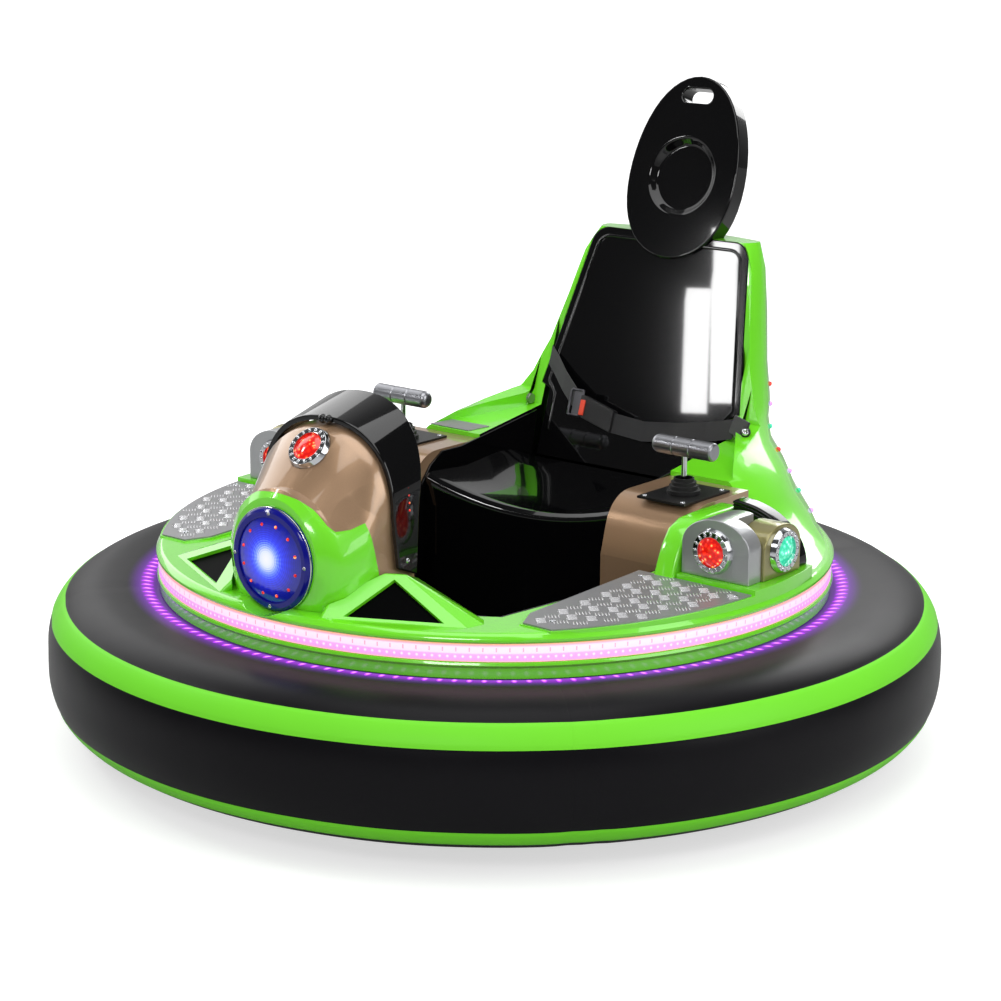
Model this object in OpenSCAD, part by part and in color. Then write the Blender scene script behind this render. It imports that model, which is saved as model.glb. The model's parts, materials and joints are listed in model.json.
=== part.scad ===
// Ride-on bumper car with an inflatable ring, twin levers and a bucket seat.
// Millimetres, +Z up, front towards -Y, driver's left towards +X, origin on the floor under the ring's centre.

/* [Inflatable ring] */
// Overall diameter of the ring
ring_d = 1950; // [1920:1:2000]
// Height of the tube
ring_h = 298; // [290:1:306]
// Width of the tube from its outer to its inner side
ring_w = 336; // [330:1:340]
// Free height under the tube
ring_clear = 46; // [40:1:50]
// Squareness of the tube's section, 2 is an ellipse
ring_n = 2.64; // [2.4:0.01:2.9]
// Thickness of a coloured band on the tube
stripe_t = 1.2; // [1:0.1:2]

/* [Body rim] */
// Radius of the rim's outer edge
rim_r = 736; // [734:1:738]
// Height of the rim's lower edge above the floor
rim_z = 358; // [356:1:362]
// Height of the light band set in the rim
band_h = 38; // [36:1:40]
// Depth of the light band's groove
band_depth = 5; // [3:0.5:6]
// Height of the deck above the floor
deck_z = 426; // [424:1:428]
// Thickness of the moulded deck
deck_t = 8; // [6:1:10]
// Thickness of the skirt that the ring is held against
skirt_t = 6; // [4:1:8]

/* [Cockpit] */
// Height of the footwell floor's underside
floor_z = 165; // [160:1:170]
// Thickness of the tub's walls and floor
tub_t = 6; // [4:1:8]
// Half width of the seat bay
bay_half = 266; // [262:1:268]
// Front of the seat bench
bench_y = 70; // [60:1:80]
// Height of the bench's front lip at its middle
bench_z = 470; // [460:1:480]
// Rise of the bench's front lip towards each side
bench_rise = 40; // [20:1:45]

/* [Seat back and shell] */
// Foot of the seat back, along Y, at the height of the next value
back_y = 518; // [514:1:522]
// Height at which the foot of the seat back is measured
back_z = 650; // [640:1:660]
// Angle of the seat back from upright
back_tilt = 18; // [17:0.5:19]
// Half width of the seat back low down
back_half = 258; // [254:1:260]
// Half width of the seat back above the arm rests
back_wide = 284; // [278:1:288]
// Half width of the seat back at its top corners
back_top_half = 224; // [216:1:228]
// Height of the seat back's top edge
back_top = 1016; // [1005:1:1020]
// Thickness of the seat back panel
back_t = 10; // [8:1:12]

/* [Headrest] */
// Length of the headrest paddle along its own plane
head_len = 428; // [420:1:440]
// Half width of the headrest paddle
head_half = 149; // [145:1:156]
// Thickness of the headrest paddle
head_t = 46; // [40:1:50]
// Angle of the headrest from upright
head_tilt = 17.5; // [16:0.5:20]
// Lowest point of the headrest's front face, along Y
head_y = 612; // [606:1:618]
// Lowest point of the headrest's front face above the floor
head_z = 964; // [958:1:970]
// Width of the hand slot
slot_w = 84; // [70:1:90]
// Height of the hand slot
slot_h = 34; // [30:1:38]
// Depth of the round dish in the headrest
dish_depth = 16; // [10:1:20]

/* [Nose] */
// Height of the headlamp's centre
lamp_z = 517; // [515:1:520]
// Radius of the headlamp's housing
lamp_r = 106; // [100:1:108]
// Front of the headlamp's housing along Y
lamp_y = -698; // [-702:1:-694]
// Half width of the hood at its widest
hood_half = 170; // [166:1:174]
// Height of the hood's top under its band
hood_z = 768; // [762:1:774]
// Front edge of the hood's band along Y
hood_front = -535; // [-540:1:-530]
// Rear edge of the hood's band along Y, at its feet
hood_rear = -482; // [-484:1:-480]
// Lean of the hood band's rear edge towards the driver at its top
hood_lean = 60; // [50:1:66]
// Rise of the hood band from its front to its rear edge at its top
hood_rise = 34; // [28:1:38]
// Thickness of the hood's band
hood_t = 12; // [10:1:14]
// Radius of the small round lamps' bezels
bezel_r = 48; // [45:1:50]
// Radius of the small round lamps' lenses
lens_r = 31; // [28:1:33]

/* [Consoles and pods] */
// Height of the lever consoles' tops
console_z = 553; // [550:1:556]
// Front of the lever consoles along Y
console_y = 22; // [20:1:26]
// Distance of the levers from the middle
lever_x = 397; // [394:1:400]
// Place of the levers along Y
lever_y = 146; // [142:1:150]
// Height of the hand grips
grip_z = 657; // [652:1:662]
// Length of a hand grip
grip_len = 156; // [150:1:160]
// Diameter of a hand grip
grip_d = 40; // [36:1:42]
// Height of the side ledge, which carries the lamp pods, over the deck
ledge_h = 25; // [22:1:28]
// Rise of the tread plates from their front tips to their rear edges
tread_rise = 12; // [8:1:14]
// Radius of a lever's pivot pin
pin_r = 3; // [3:0.5:4]
// Radial running clearance of pins and axles
run_fit = 0.05; // [0.02:0.01:0.1]
// Half width of the arch behind the side lamps
arch_half = 158; // [154:1:160]
// Height of that arch over the ledge it stands on
arch_h = 118; // [114:1:122]

/* [Wheels and chassis] */
// Diameter of a drive wheel
drive_d = 200; // [190:1:210]
// Width of a drive wheel
drive_w = 56; // [50:1:60]
// Distance of a drive wheel's centre from the middle
drive_x = 410; // [405:1:415]
// Place of the drive axle along Y
drive_y = 152; // [148:1:156]
// Radius of the drive axle
axle_r = 10; // [8:1:12]
// Diameter of a castor wheel
castor_d = 96; // [90:1:100]
// Width of a castor wheel
castor_w = 34; // [30:1:38]
// Distance of the castor's axle behind its swivel
trail = 34; // [30:1:38]
// Thickness of the chassis plate
plate_t = 6; // [5:1:8]
// Gap kept where curved faces of two pieces touch
seat_gap = 0.3; // [0.2:0.05:0.4]

/* [Hidden] */
$fn = 96;
big = 3000;
eps = 0.01;

green = "yellowgreen";
gloss_black = "black";
bronze = "rosybrown";
steel = "dimgray";

// Ring section: centre of its outer curve and its half widths
ring_out_half = 0.434 * ring_w;
ring_in_half = ring_w - ring_out_half;
ring_rc = ring_d / 2 - ring_out_half;
ring_z = ring_clear + ring_h / 2;
ring_step = 5;
// Angles on the section between which the coloured bands lie: start, end
STRIPES = [[25, 50], [-50, -30]];

function pow_s(v, e) = sign(v) * pow(abs(v), e);
function ring_point(t, grow = 0) =
    [ring_rc + ((cos(t) > 0 ? ring_out_half : ring_in_half) + grow) * pow_s(cos(t), 2 / ring_n),
     ring_z + (ring_h / 2 + grow) * pow_s(sin(t), 2 / ring_n)];
function ring_arc(a, b, grow = 0) = [for (t = [a : ring_step : b]) ring_point(t, grow)];
function reversed(list) = [for (i = [len(list) - 1 : -1 : 0]) list[i]];
function mirrored_x(list) = [for (p = reversed(list)) [-p[0], p[1]]];
// Straight-line reading of a table whose first column is the key
function table(rows, key, col, i = 0) =
    key <= rows[0][0] ? rows[0][col] :
    i >= len(rows) - 1 ? rows[len(rows) - 1][col] :
    key <= rows[i + 1][0]
        ? rows[i][col] + (rows[i + 1][col] - rows[i][col])
            * (key - rows[i][0]) / (rows[i + 1][0] - rows[i][0])
        : table(rows, key, col, i + 1);

// Skin through rings of equally many points, closed at both ends
module loft(rings) {
    n = len(rings[0]);
    m = len(rings);
    sides = [for (j = [0 : m - 2], i = [0 : n - 1]) let(k = (i + 1) % n)
             each [[j * n + i, (j + 1) * n + i, j * n + k], [j * n + k, (j + 1) * n + i, (j + 1) * n + k]]];
    caps = [[for (i = [0 : n - 1]) i], [for (i = [n - 1 : -1 : 0]) (m - 1) * n + i]];
    polyhedron(points = [for (r = rings) each r], faces = concat(sides, caps), convexity = 6);
}

module both_sides() {
    children();
    mirror([1, 0, 0]) children();
}

module turned(profile) rotate_extrude($fn = 120) polygon(profile);

module inflatable_ring() {
    color("black") turned(ring_arc(-180, 180 - ring_step));
}

module ring_stripes() {
    color(green) for (s = STRIPES)
        turned(concat(ring_arc(s[0], s[1], stripe_t + seat_gap), reversed(ring_arc(s[0], s[1], seat_gap))));
}

// Wall of the hull inside the ring, from under the deck to below the chassis plate
skirt_top_t = 120;
skirt_r = ring_rc - ring_in_half - seat_gap;
skirt_inner_r = skirt_r - skirt_t;
skirt_low_z = ring_z - 55;
module ring_seat() {
    color(steel) translate([0, 0, skirt_low_z]) difference() {
        cylinder(h = deck_z - deck_t - seat_gap - skirt_low_z, r = skirt_r);
        translate([0, 0, -1]) cylinder(h = big, r = skirt_inner_r);
    }
}

// Rim section
band_z = rim_z + 10;
band_r = rim_r - 3;
skirt_top = ring_point(skirt_top_t, seat_gap + skirt_t);
deck_edge_r = rim_r - 6;
deck_inner_r = rim_r - 40;
RIM_PROFILE = [
    [skirt_top[0] - 16, skirt_top[1] + seat_gap], [skirt_top[0] + 18, skirt_top[1] + seat_gap],
    [rim_r - 6, rim_z - 2], [rim_r, rim_z + 4], [band_r, band_z],
    [band_r - band_depth, band_z], [band_r - band_depth, band_z + band_h], [band_r, band_z + band_h],
    [rim_r, band_z + band_h + 4], [rim_r, band_z + band_h + 9], [deck_edge_r, deck_z - 3],
        [deck_edge_r - 8, deck_z]];

// Cockpit opening in plan, left half from front to back: footwell, then the seat bay
foot_y = -494;
foot_half = 430;
bay_rear = 560;
apron_t = 8;
step_y = console_y + apron_t;
function cockpit_outline(grow = 0) = let(
    left = [[0, foot_y - grow], [foot_half - 74 + grow / 2, foot_y - grow],
        [foot_half - 32 + grow, foot_y + 24],
            [foot_half + grow, foot_y + 290], [foot_half + grow, step_y + grow],
            [bay_half + grow, step_y + grow], [bay_half + grow, bay_rear + grow]])
    concat(left, mirrored_x(left));

module cockpit_prism(z0, z1, grow = 0) {
    translate([0, 0, z0]) linear_extrude(z1 - z0) polygon(cockpit_outline(grow));
}

// Raised ledge of the deck under the lamp pods
ledge_z = deck_z + ledge_h;
pod_x0 = 535;
pod_x1 = 700;
pod_y = -52;
pod_depth = 104;
arch_y = 132;
arch_t = 38;
arch_wall = 22;
strip_x = pod_x0 - 2;
ledge_y = pod_y - 14;
module ledge_plan() {
    intersection() {
        circle(r = deck_edge_r, $fn = 180);
        polygon([[strip_x + seat_gap, ledge_y], [big, ledge_y], [big, arch_y + arch_t],
            [strip_x + seat_gap, arch_y + arch_t]]);
    }
}

// Side of the deck under a tread plate, rising towards the rear
tread_front = -490;
tread_in = foot_half + tub_t + 2;
tread_tilt = atan(tread_rise / (ledge_y - tread_front));
module tread_plan(edge = 0) {
    intersection() {
        circle(r = deck_edge_r - edge, $fn = 180);
        polygon([[tread_in + edge, ledge_y - edge], [tread_in + edge, tread_front + 60],
                 [tread_in + 26 + edge, tread_front + edge], [big, tread_front + edge],
                     [big, ledge_y - edge]]);
    }
}
module tread_frame() {
    translate([0, tread_front, deck_z + 2]) rotate([tread_tilt, 0, 0])
        translate([0, -tread_front, 0]) children();
}
module tread_wedge() {
    difference() {
        translate([0, 0, deck_z - deck_t]) linear_extrude(ledge_h + deck_t) tread_plan();
        tread_frame() translate([0, -big, 0]) cube([big, 2 * big, big]);
    }
}

module body_rim() {
    color(green) difference() {
        union() {
            turned(concat(RIM_PROFILE, [[deck_inner_r, deck_z]]));
            translate([0, 0, deck_z - deck_t]) cylinder(h = deck_t, r = deck_inner_r + 1);
            both_sides() {
                translate([0, 0, deck_z - deck_t]) linear_extrude(ledge_h + deck_t) ledge_plan();
                tread_wedge();
            }
        }
        cockpit_prism(deck_z - 2 * deck_t, deck_z + deck_t, tub_t + seat_gap);
        lamp_pocket(seat_gap);
    }
}

module led_strip() {
    color("hotpink") turned([
        [band_r - band_depth + seat_gap, band_z + 1], [band_r - 1, band_z + 1],
        [band_r - 1, band_z + band_h - 1], [band_r - band_depth + seat_gap, band_z + band_h - 1]]);
}

// Shell behind and beside the driver: height, half width, front, back and squareness of each level
SHELL = [
    [deck_z, 690, -60, 700, 2.6],
    [deck_z + 34, 528, -54, 704, 2.4],
    [510, 486, -20, 705, 2.2],
    [560, 448, 40, 706, 2.1],
    [600, 388, 100, 706, 2.2],
    [640, 342, 170, 716, 2.6],
    [670, 318, 280, 728, 2.7],
    [750, back_wide + 1, 400, 736, 2.6],
    [860, back_wide - 24, 480, 748, 2.6],
    [960, back_top_half + 16, 540, 756, 2.6],
    [back_top, back_top_half - 6, 600, 752, 2.6]];
shell_steps = 40;
function shell_ring(row) = [for (i = [0 : shell_steps - 1])
    let(t = i * 360 / shell_steps,
        x = row[1] * pow_s(cos(t), 2 / row[4]),
        y = (row[2] + row[3]) / 2 + (row[3] - row[2]) / 2 * pow_s(sin(t), 2 / row[4]),
        k = min(1, (deck_edge_r - 12) / norm([x, y])))
    [x * k, y * k, row[0]]];

function back_plane_y(z) = back_y + (z - back_z) * tan(back_tilt);
arm_front_z = console_z;
arm_joint_z = 597;
arm_joint_y = back_plane_y(arm_joint_z);
lip_joint_z = 632;
// Plan of the arm rests, which narrow towards the seat back inside the shell's rising lip
tray_end = 302;
TRAY = [[470, -100], [456, 240], [tray_end, 478], [tray_end, 700]];

// Space in front of the seat back: over the lips, and deeper between them over the arm rests
module side_prism(line) {
    rotate([90, 0, 90]) translate([0, 0, -big / 2]) linear_extrude(big)
        polygon(concat([[-big, arm_front_z]], line,
                       [[back_plane_y(back_top + 60), back_top + 60], [-big, back_top + 60]]));
}
module open_side_prism() {
    side_prism([[200, arm_front_z], [250, 568], [400, 608], [back_plane_y(lip_joint_z), lip_joint_z]]);
    intersection() {
        side_prism([[200, arm_front_z], [272, 563], [arm_joint_y, arm_joint_z]]);
        linear_extrude(big) polygon(concat(TRAY, mirrored_x(TRAY)));
    }
}

arch_x = pod_x0 + 5;
module arch_prism(y0, y1, grow = 0) {
    translate([0, y1, ledge_z]) rotate([90, 0, 0]) linear_extrude(y1 - y0)
        translate([arch_x, 0]) scale([1, (arch_h + grow) / (arch_half + grow)])
            circle(r = arch_half + grow, $fn = 64);
}

module seat_shell() {
    color(green) difference() {
        loft([for (row = SHELL) shell_ring(row)]);
        open_side_prism();
        cockpit_prism(deck_z - 10, big, tub_t + seat_gap);
        seat_back_cut();
        head_pocket();
        both_sides() {
            intersection() {
                union() {
                    arch_prism(-big / 2, arch_y + arch_t, seat_gap);
                    translate([0, -big / 2, deck_z - 1])
                        cube([big, big / 2 + arch_y + arch_t + seat_gap, ledge_h + 2]);
                }
                translate([strip_x, -big, 0]) cube([big, 2 * big, big]);
            }
            translate([console_in - seat_gap, -big / 2, deck_z - 1])
                cube([console_out - console_in + 2 * seat_gap, big / 2 + console_rear + seat_gap, big]);
        }
    }
}

module back_frame() {
    translate([0, back_plane_y(back_z), back_z]) rotate([-back_tilt, 0, 0]) children();
}

back_corner = 46;
function arc(c, r, a, b, n = 8) = [for (i = [0 : n])
    let(t = a + (b - a) * i / n) c + r * [cos(t), sin(t)]];
back_len = (back_top - back_z) / cos(back_tilt);
back_low = -190;
function back_outline(grow = 0) = let(
    top = back_len + grow,
    right = concat([[back_half + grow, back_low]], [[back_half + grow, -14 - grow]],
        [[back_wide + grow, -2 - grow]],
        arc([back_top_half + grow - back_corner, top - back_corner], back_corner, 12, 90)))
    concat(right, mirrored_x(right));

// Seat back panel in its own plane: X across, Z up the slope, thickness towards the rear
module seat_back() {
    color(gloss_black) difference() {
        back_frame() rotate([90, 0, 0]) translate([0, 0, -back_t]) linear_extrude(back_t)
            polygon(back_outline());
        head_pocket();
        translate([-big / 2, -big / 2, 0]) cube([big, big, pan_rear_z + 6]);
    }
}
module seat_back_cut() {
    back_frame() rotate([90, 0, 0]) translate([0, 0, -back_t - seat_gap]) linear_extrude(big)
        polygon(back_outline(seat_gap));
}

// Headrest paddle, egg shaped in its own plane
head_steps = 48;
function head_outline(grow = 0) = [for (i = [0 : head_steps - 1])
    let(t = i * 360 / head_steps, s = sin(t))
    [(head_half + grow) * cos(t) * (1 - 0.1 * s + 0.1 * s * s), head_len / 2 + (head_len / 2 + grow) * s]];
module head_frame() {
    translate([0, head_y, head_z]) rotate([-head_tilt, 0, 0]) rotate([90, 0, 0]) children();
}
module head_pocket() {
    head_frame() translate([0, 0, -head_t - seat_gap]) linear_extrude(big) polygon(head_outline(seat_gap));
}
module headrest() {
    slot_up = head_len - 46;
    color(gloss_black) difference() {
        head_frame() translate([0, 0, -head_t]) linear_extrude(head_t) polygon(head_outline());
        head_frame() translate([0, slot_up, -head_t - 1]) linear_extrude(head_t + 2) {
            square([slot_w - slot_h, slot_h], center = true);
            for (s = [-1, 1]) translate([s * (slot_w - slot_h) / 2, 0]) circle(d = slot_h, $fn = 48);
        }
        head_frame() translate([0, head_len * 0.45, -dish_depth])
            cylinder(h = dish_depth + 1, r1 = 76, r2 = 92);
    }
}

pan_rear_y = 440;
pan_rear_z = 478;
function bench_section(x) = let(up = bench_rise * pow(abs(x) / bay_half, 2), z = bench_z + up) [
    [x, bench_y, floor_z + tub_t], [x, bench_y, z - 26], [x, bench_y + 3, z - 9], [x, bench_y + 12, z - 1],
        [x, bench_y + 26, z],
    [x, bench_y + 140, z - 8], [x, pan_rear_y - 110, pan_rear_z - 4 + up],
        [x, pan_rear_y - 50, pan_rear_z + up * 0.8],
    [x, back_plane_y(pan_rear_z) - 8, pan_rear_z + 5],
    [x, back_plane_y(pan_rear_z), floor_z + tub_t]];
bench_steps = 12;
module seat_bench() {
    half = bay_half - seat_gap;
    color(gloss_black) difference() {
        loft([for (i = [0 : bench_steps]) bench_section(-half + 2 * half * i / bench_steps)]);
        translate([-half + tub_t, bench_y + tub_t, floor_z])
            cube([2 * half - 2 * tub_t, pan_rear_y - bench_y - 20, pan_rear_z - 90 - floor_z]);
    }
}

// Tub: footwell walls end at the deck, and the seat bay's walls rise to the arm rests
wall_drop = 4;
module tub_side_prism() {
    rotate([90, 0, 90]) translate([0, 0, -big / 2]) linear_extrude(big)
        polygon([[-big, 0], [-big, deck_z], [step_y + tub_t, deck_z], [console_y + 32, deck_z + 50],
            [console_y + 70, console_z - 30],
                 [console_y + 112, console_z - wall_drop], [200, arm_front_z - wall_drop],
                 [272, 563 - wall_drop],
                 [arm_joint_y - 22, arm_joint_z - 2 * wall_drop],
                     [back_plane_y(pan_rear_z) - 2, pan_rear_z], [big, pan_rear_z], [big, 0]]);
}
module tub() {
    color(gloss_black) difference() {
        intersection() {
            cockpit_prism(floor_z, big, tub_t);
            tub_side_prism();
        }
        cockpit_prism(floor_z + tub_t, big + 1, 0);
    }
}

// Sloping green panel each side of the nose: its face is one plane, which the window lies in
apron_r = 8;
apron_front = -777;
apron_x_run = 0.511;
apron_z_run = 1.594;
function apron_y(x, z, depth = 0) =
    apron_front + apron_x_run * x + apron_z_run * (z - deck_z) + depth * norm([apron_x_run, 1, apron_z_run]);
band_foot_z = deck_z + 71;
foot_drop = 22;
foot_slope = atan(foot_drop / (hood_rear - hood_front));
ridge_z = band_foot_z - (apron_r + seat_gap) / cos(foot_slope) - seat_gap;
apron_low = deck_z - apron_r;
// Corners of the face, across and up, then the corners of the panel's rear side
APRON_FACE = [[120, ridge_z], [222, ridge_z], [140, apron_low], [400, apron_low]];
APRON_REAR = [[120, hood_rear - 14, ridge_z - foot_drop], [205, hood_rear - 14, ridge_z - foot_drop],
              [408, -532, apron_low], [392, foot_y - 18, apron_low], [120, foot_y - 18, apron_low]];
module apron_half() {
    difference() {
        hull() {
            for (p = APRON_FACE) translate([p[0], apron_y(p[0], p[1], apron_r), p[1]])
                sphere(r = apron_r, $fn = 24);
            for (p = APRON_REAR) translate(p) sphere(r = apron_r, $fn = 24);
        }
        translate([0, -big, deck_z - big]) cube([big, big, big]);
    }
}
// Corners of the window, across and up
WINDOW_FACE = [[176, deck_z + 4.5], [212, deck_z + 62], [356, deck_z + 4.5]];
WINDOW = [for (p = WINDOW_FACE) [p[0], apron_y(p[0], p[1]), p[1]]];
module window_prism(depth, grow = 0) {
    c = (WINDOW[0] + WINDOW[1] + WINDOW[2]) / 3;
    n = cross(WINDOW[1] - WINDOW[0], WINDOW[2] - WINDOW[0]);
    u = -n / norm(n);
    face = [for (p = WINDOW) c + (p - c) * (1 + grow)];
    polyhedron(points = concat([for (p = face) p + u * 60], [for (p = face) p - u * depth]),
        faces = [[0, 1, 2], [5, 4, 3], [0, 3, 1], [1, 3, 4], [1, 4, 2], [2, 4, 5], [2, 5, 0], [0, 5, 3]]);
}
module front_apron() {
    color(green) both_sides() difference() {
        apron_half();
        nose_plan_prism();
        window_prism(14);
    }
}
module window_panels() {
    color("black") both_sides() difference() {
        intersection() {
            apron_half();
            difference() { window_prism(14 - seat_gap, -0.004); window_prism(8, 0.2); }
        }
        nose_plan_prism();
    }
}
module nose_plan_prism() {
    left = concat([[0, -big], [NOSE[0][1] + seat_gap, -big]],
                  [for (row = NOSE) [max(row[1], row[4]) + seat_gap, row[0]]],
                  [[hood_half + hood_flare + seat_gap, hood_rear + 40], [0, hood_rear + 40]]);
    translate([0, 0, deck_z - 1]) linear_extrude(big) polygon(left);
}

// Flare of the hood's sides down to the deck, and centre and squareness of its arch
hood_flare = 24;
hood_c = 600;
hood_n = 2.3;
// Nose and hood by section along Y: place, half width, its height, rise over it, half width at the deck, squareness
NOSE = [
    [lamp_y + 8, 116, lamp_z, 124, 84, 2],
    [lamp_y + 22, 134, lamp_z, 140, 118, 2],
    [-650, 153, 508, 147, 150, 1.9],
    [-600, 169, 520, 186, 169, 2],
    [-560, hood_half, 575, hood_z - 14 - 575, hood_half + hood_flare - 2, 2.2],
    [-520, hood_half, hood_c, hood_z - 2 - hood_c, hood_half + hood_flare, hood_n],
    [hood_rear + 4, hood_half, hood_c, hood_z - 2 - hood_c, hood_half + hood_flare, hood_n]];
nose_steps = 24;
side_steps = 4;
function arch_point(w, up, n, t) = [w * pow_s(cos(t), 2 / n), up * pow_s(sin(t), 2 / n)];
function nose_side(row, i) = let(k = i / side_steps)
    [row[1] - (row[1] - row[4]) * k * k, row[2] - (row[2] - deck_z - seat_gap) * k];
function nose_ring(row) = concat(
    [for (i = [side_steps : -1 : 1]) let(p = nose_side(row, i)) [p[0], row[0], p[1]]],
    [for (i = [0 : nose_steps]) let(p = arch_point(row[1], row[3], row[5], i * 180 / nose_steps))
        [p[0], row[0], row[2] + p[1]]],
    [for (i = [1 : side_steps]) let(p = nose_side(row, i)) [-p[0], row[0], p[1]]]);
module lamp_pocket(grow = 0) {
    translate([0, lamp_y + 30 + grow, lamp_z]) rotate([90, 0, 0]) cylinder(h = 80, r = lamp_r + grow);
}
module nose_form() {
    loft([for (row = NOSE) nose_ring(row)]);
}
// Edge between the green nose and the bronze cowl, seen from the side
SCALLOP = [[-698, 720], [-681, 650], [-664, 626], [-658, 598], [-648, 586], [-622, 588], [-594, 598],
           [-587, 570], [-577, 525], [-572, 490], [-566, 300]];
module scallop_prism(far) {
    rotate([90, 0, 90]) translate([0, 0, -big / 2]) linear_extrude(big)
        polygon(concat([[far, big]], SCALLOP, [[far, 300]]));
}
module cowl_lamp_place() {
    translate([0, -583, 722]) rotate([90 - 43, 0, 0]) children();
}
module nose() {
    color(green) difference() {
        nose_form();
        scallop_prism(big);
        lamp_pocket(seat_gap);
    }
}
module cowl() {
    color(bronze) difference() {
        nose_form();
        scallop_prism(-big);
        cowl_lamp_place() translate([0, 0, -seat_gap]) cylinder(h = 100, r = bezel_r + seat_gap);
    }
}

// Band over the hood, swept along the arch from foot to foot
band_steps = 32;
foot_spread = 14;
function band_point(t, grow) =
    let(p = arch_point(hood_half + grow, hood_z - hood_c + grow, hood_n, t)) [p[0], hood_c + p[1]];
function band_section(a, b, drop = 0) =
    let(k = (b[1] - band_foot_z) / (hood_z - band_foot_z), up = hood_rise * k - drop,
        y = hood_rear + hood_lean * k) [
    [a[0], hood_front, a[1]], [a[0], y, a[1] + up], [b[0], y, b[1] + up], [b[0], hood_front, b[1]]];
module hood_band() {
    in_half = hood_half + foot_spread;
    out_half = in_half + hood_t;
    color(gloss_black) loft(concat(
        [band_section([-in_half, band_foot_z], [-out_half, band_foot_z], foot_drop)],
        [for (i = [band_steps : -1 : 0]) let(t = 180 * i / band_steps)
            band_section(band_point(t, seat_gap), band_point(t, hood_t))],
        [band_section([in_half, band_foot_z], [out_half, band_foot_z], foot_drop)]));
}

module headlamp_housing() {
    color("navy") translate([0, lamp_y, lamp_z]) rotate([-90, 0, 0]) difference() {
        union() {
            cylinder(h = 30, r = lamp_r);
            translate([0, 0, -6]) cylinder(h = 6, r1 = lamp_r - 8, r2 = lamp_r);
        }
        translate([0, 0, -7]) cylinder(h = 19, r = lamp_r - 20);
    }
}
module headlamp_lens() {
    r = lamp_r - 20 - seat_gap;
    color("blue") translate([0, lamp_y, lamp_z]) rotate([-90, 0, 0])
        rotate_extrude($fn = 96) polygon([[0, -10], [r * 0.5, -8.6], [r * 0.8, -6], [r, -2],
            [r, 12 - seat_gap], [0, 12 - seat_gap]]);
}

module bezel() {
    difference() {
        cylinder(h = 12, r1 = bezel_r, r2 = bezel_r - 5);
        translate([0, 0, 3]) cylinder(h = 12, r = lens_r + seat_gap);
    }
}
module lens() {
    translate([0, 0, 3]) intersection() {
        cylinder(h = 14, r = lens_r);
        translate([0, 0, 12 - 60]) sphere(r = 60);
    }
}
module cowl_lamp_bezel() { color("silver") cowl_lamp_place() bezel(); }
module cowl_lamp_lens() { color("red") cowl_lamp_place() lens(); }

console_in = bay_half + tub_t + 2 * seat_gap;
console_out = 478;
console_rear = 272;
console_low = deck_z + seat_gap;
console_round = 84;
module console_form() {
    intersection() {
        hull() for (x = [console_in, console_out - 10]) {
            translate([x, console_y + console_round + 14, console_z - console_round])
                rotate([0, 90, 0]) cylinder(h = 10, r = console_round, $fn = 32);
            translate([x, console_y, console_low - 60]) cube([10, 12, 61]);
            translate([x, console_rear - 12, console_low - 60]) cube([10, 12, console_z - console_low + 60]);
        }
        translate([0, 0, console_low]) cube([big, big, big]);
    }
    translate([bay_half + tub_t + seat_gap, console_y, console_low - 120])
        cube([foot_half - bay_half - tub_t - 2 * seat_gap, apron_t - seat_gap, 120 + eps]);
}
module console_left() { color(bronze) console_form(); }
module console_right() { color(bronze) mirror([1, 0, 0]) console_form(); }

base_x = 122;
base_y = 168;
base_t = 5;
pivot_z = console_z + base_t + 12;
ear_w = 5;
module lever_base_form() {
    color("black") {
        difference() {
            translate([lever_x - base_x / 2, lever_y - base_y / 2, console_z]) cube([base_x, base_y, base_t]);
            for (sx = [-1, 1], sy = [-1, 1])
                translate([lever_x + sx * (base_x / 2 - 12), lever_y + sy * (base_y / 2 - 12),
                    console_z - 1]) cylinder(h = base_t + 2, r = 3);
        }
        for (s = [-1, 1]) difference() {
            translate([lever_x + s * (11 + ear_w / 2) - ear_w / 2, lever_y - 7,
                console_z + base_t]) cube([ear_w, 14, 18]);
            translate([lever_x - 40, lever_y, pivot_z]) rotate([0, 90, 0])
                cylinder(h = 80, r = pin_r + run_fit);
        }
    }
}
module lever_base_left() { lever_base_form(); }
module lever_base_right() { mirror([1, 0, 0]) lever_base_form(); }

// Boot rings: outer radius, height over the base plate
BOOT = [[36, 0], [36, 9], [31, 10], [31, 18], [27, 19], [27, 26], [22, 27], [22, 34]];
module boot_form() {
    inner = [[22, 0], [22, 22], [18, 34]];
    color("black") translate([lever_x, lever_y, console_z + base_t]) rotate_extrude($fn = 64)
        polygon(concat(BOOT, reversed(inner)));
}
module boot_left() { boot_form(); }
module boot_right() { mirror([1, 0, 0]) boot_form(); }

stem_r = 6;
grip_r = grip_d / 2;
module lever_form() {
    color("silver") translate([lever_x, lever_y, 0]) {
        translate([0, 0, pivot_z - 8]) cylinder(h = grip_z - grip_r + 2 - pivot_z + 8, r = stem_r);
        translate([-16, 0, pivot_z]) rotate([0, 90, 0]) cylinder(h = 32, r = pin_r);
    }
}
module lever_left() { lever_form(); }
module lever_right() { mirror([1, 0, 0]) lever_form(); }

// Grip profile along its axis: place, radius
module grip_form() {
    half = grip_len / 2;
    color("lightgray") translate([lever_x, lever_y, grip_z]) difference() {
        rotate([0, 90, 0]) rotate_extrude($fn = 64) polygon(concat(
            [[0, -half]], arc([grip_r - 14, -half + 14], 14, 270, 360, 6),
            [[grip_r, -24], [grip_r - 1.5, -22], [grip_r, -20], [grip_r, 20], [grip_r - 1.5, 22],
                [grip_r, 24]],
            arc([grip_r - 6, half - 6], 6, 0, 90, 4), [[0, half]]));
        translate([0, 0, -grip_r - 1]) cylinder(h = 3 + eps, r = stem_r + run_fit);
    }
}
module grip_left() { grip_form(); }
module grip_right() { mirror([1, 0, 0]) grip_form(); }

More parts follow.
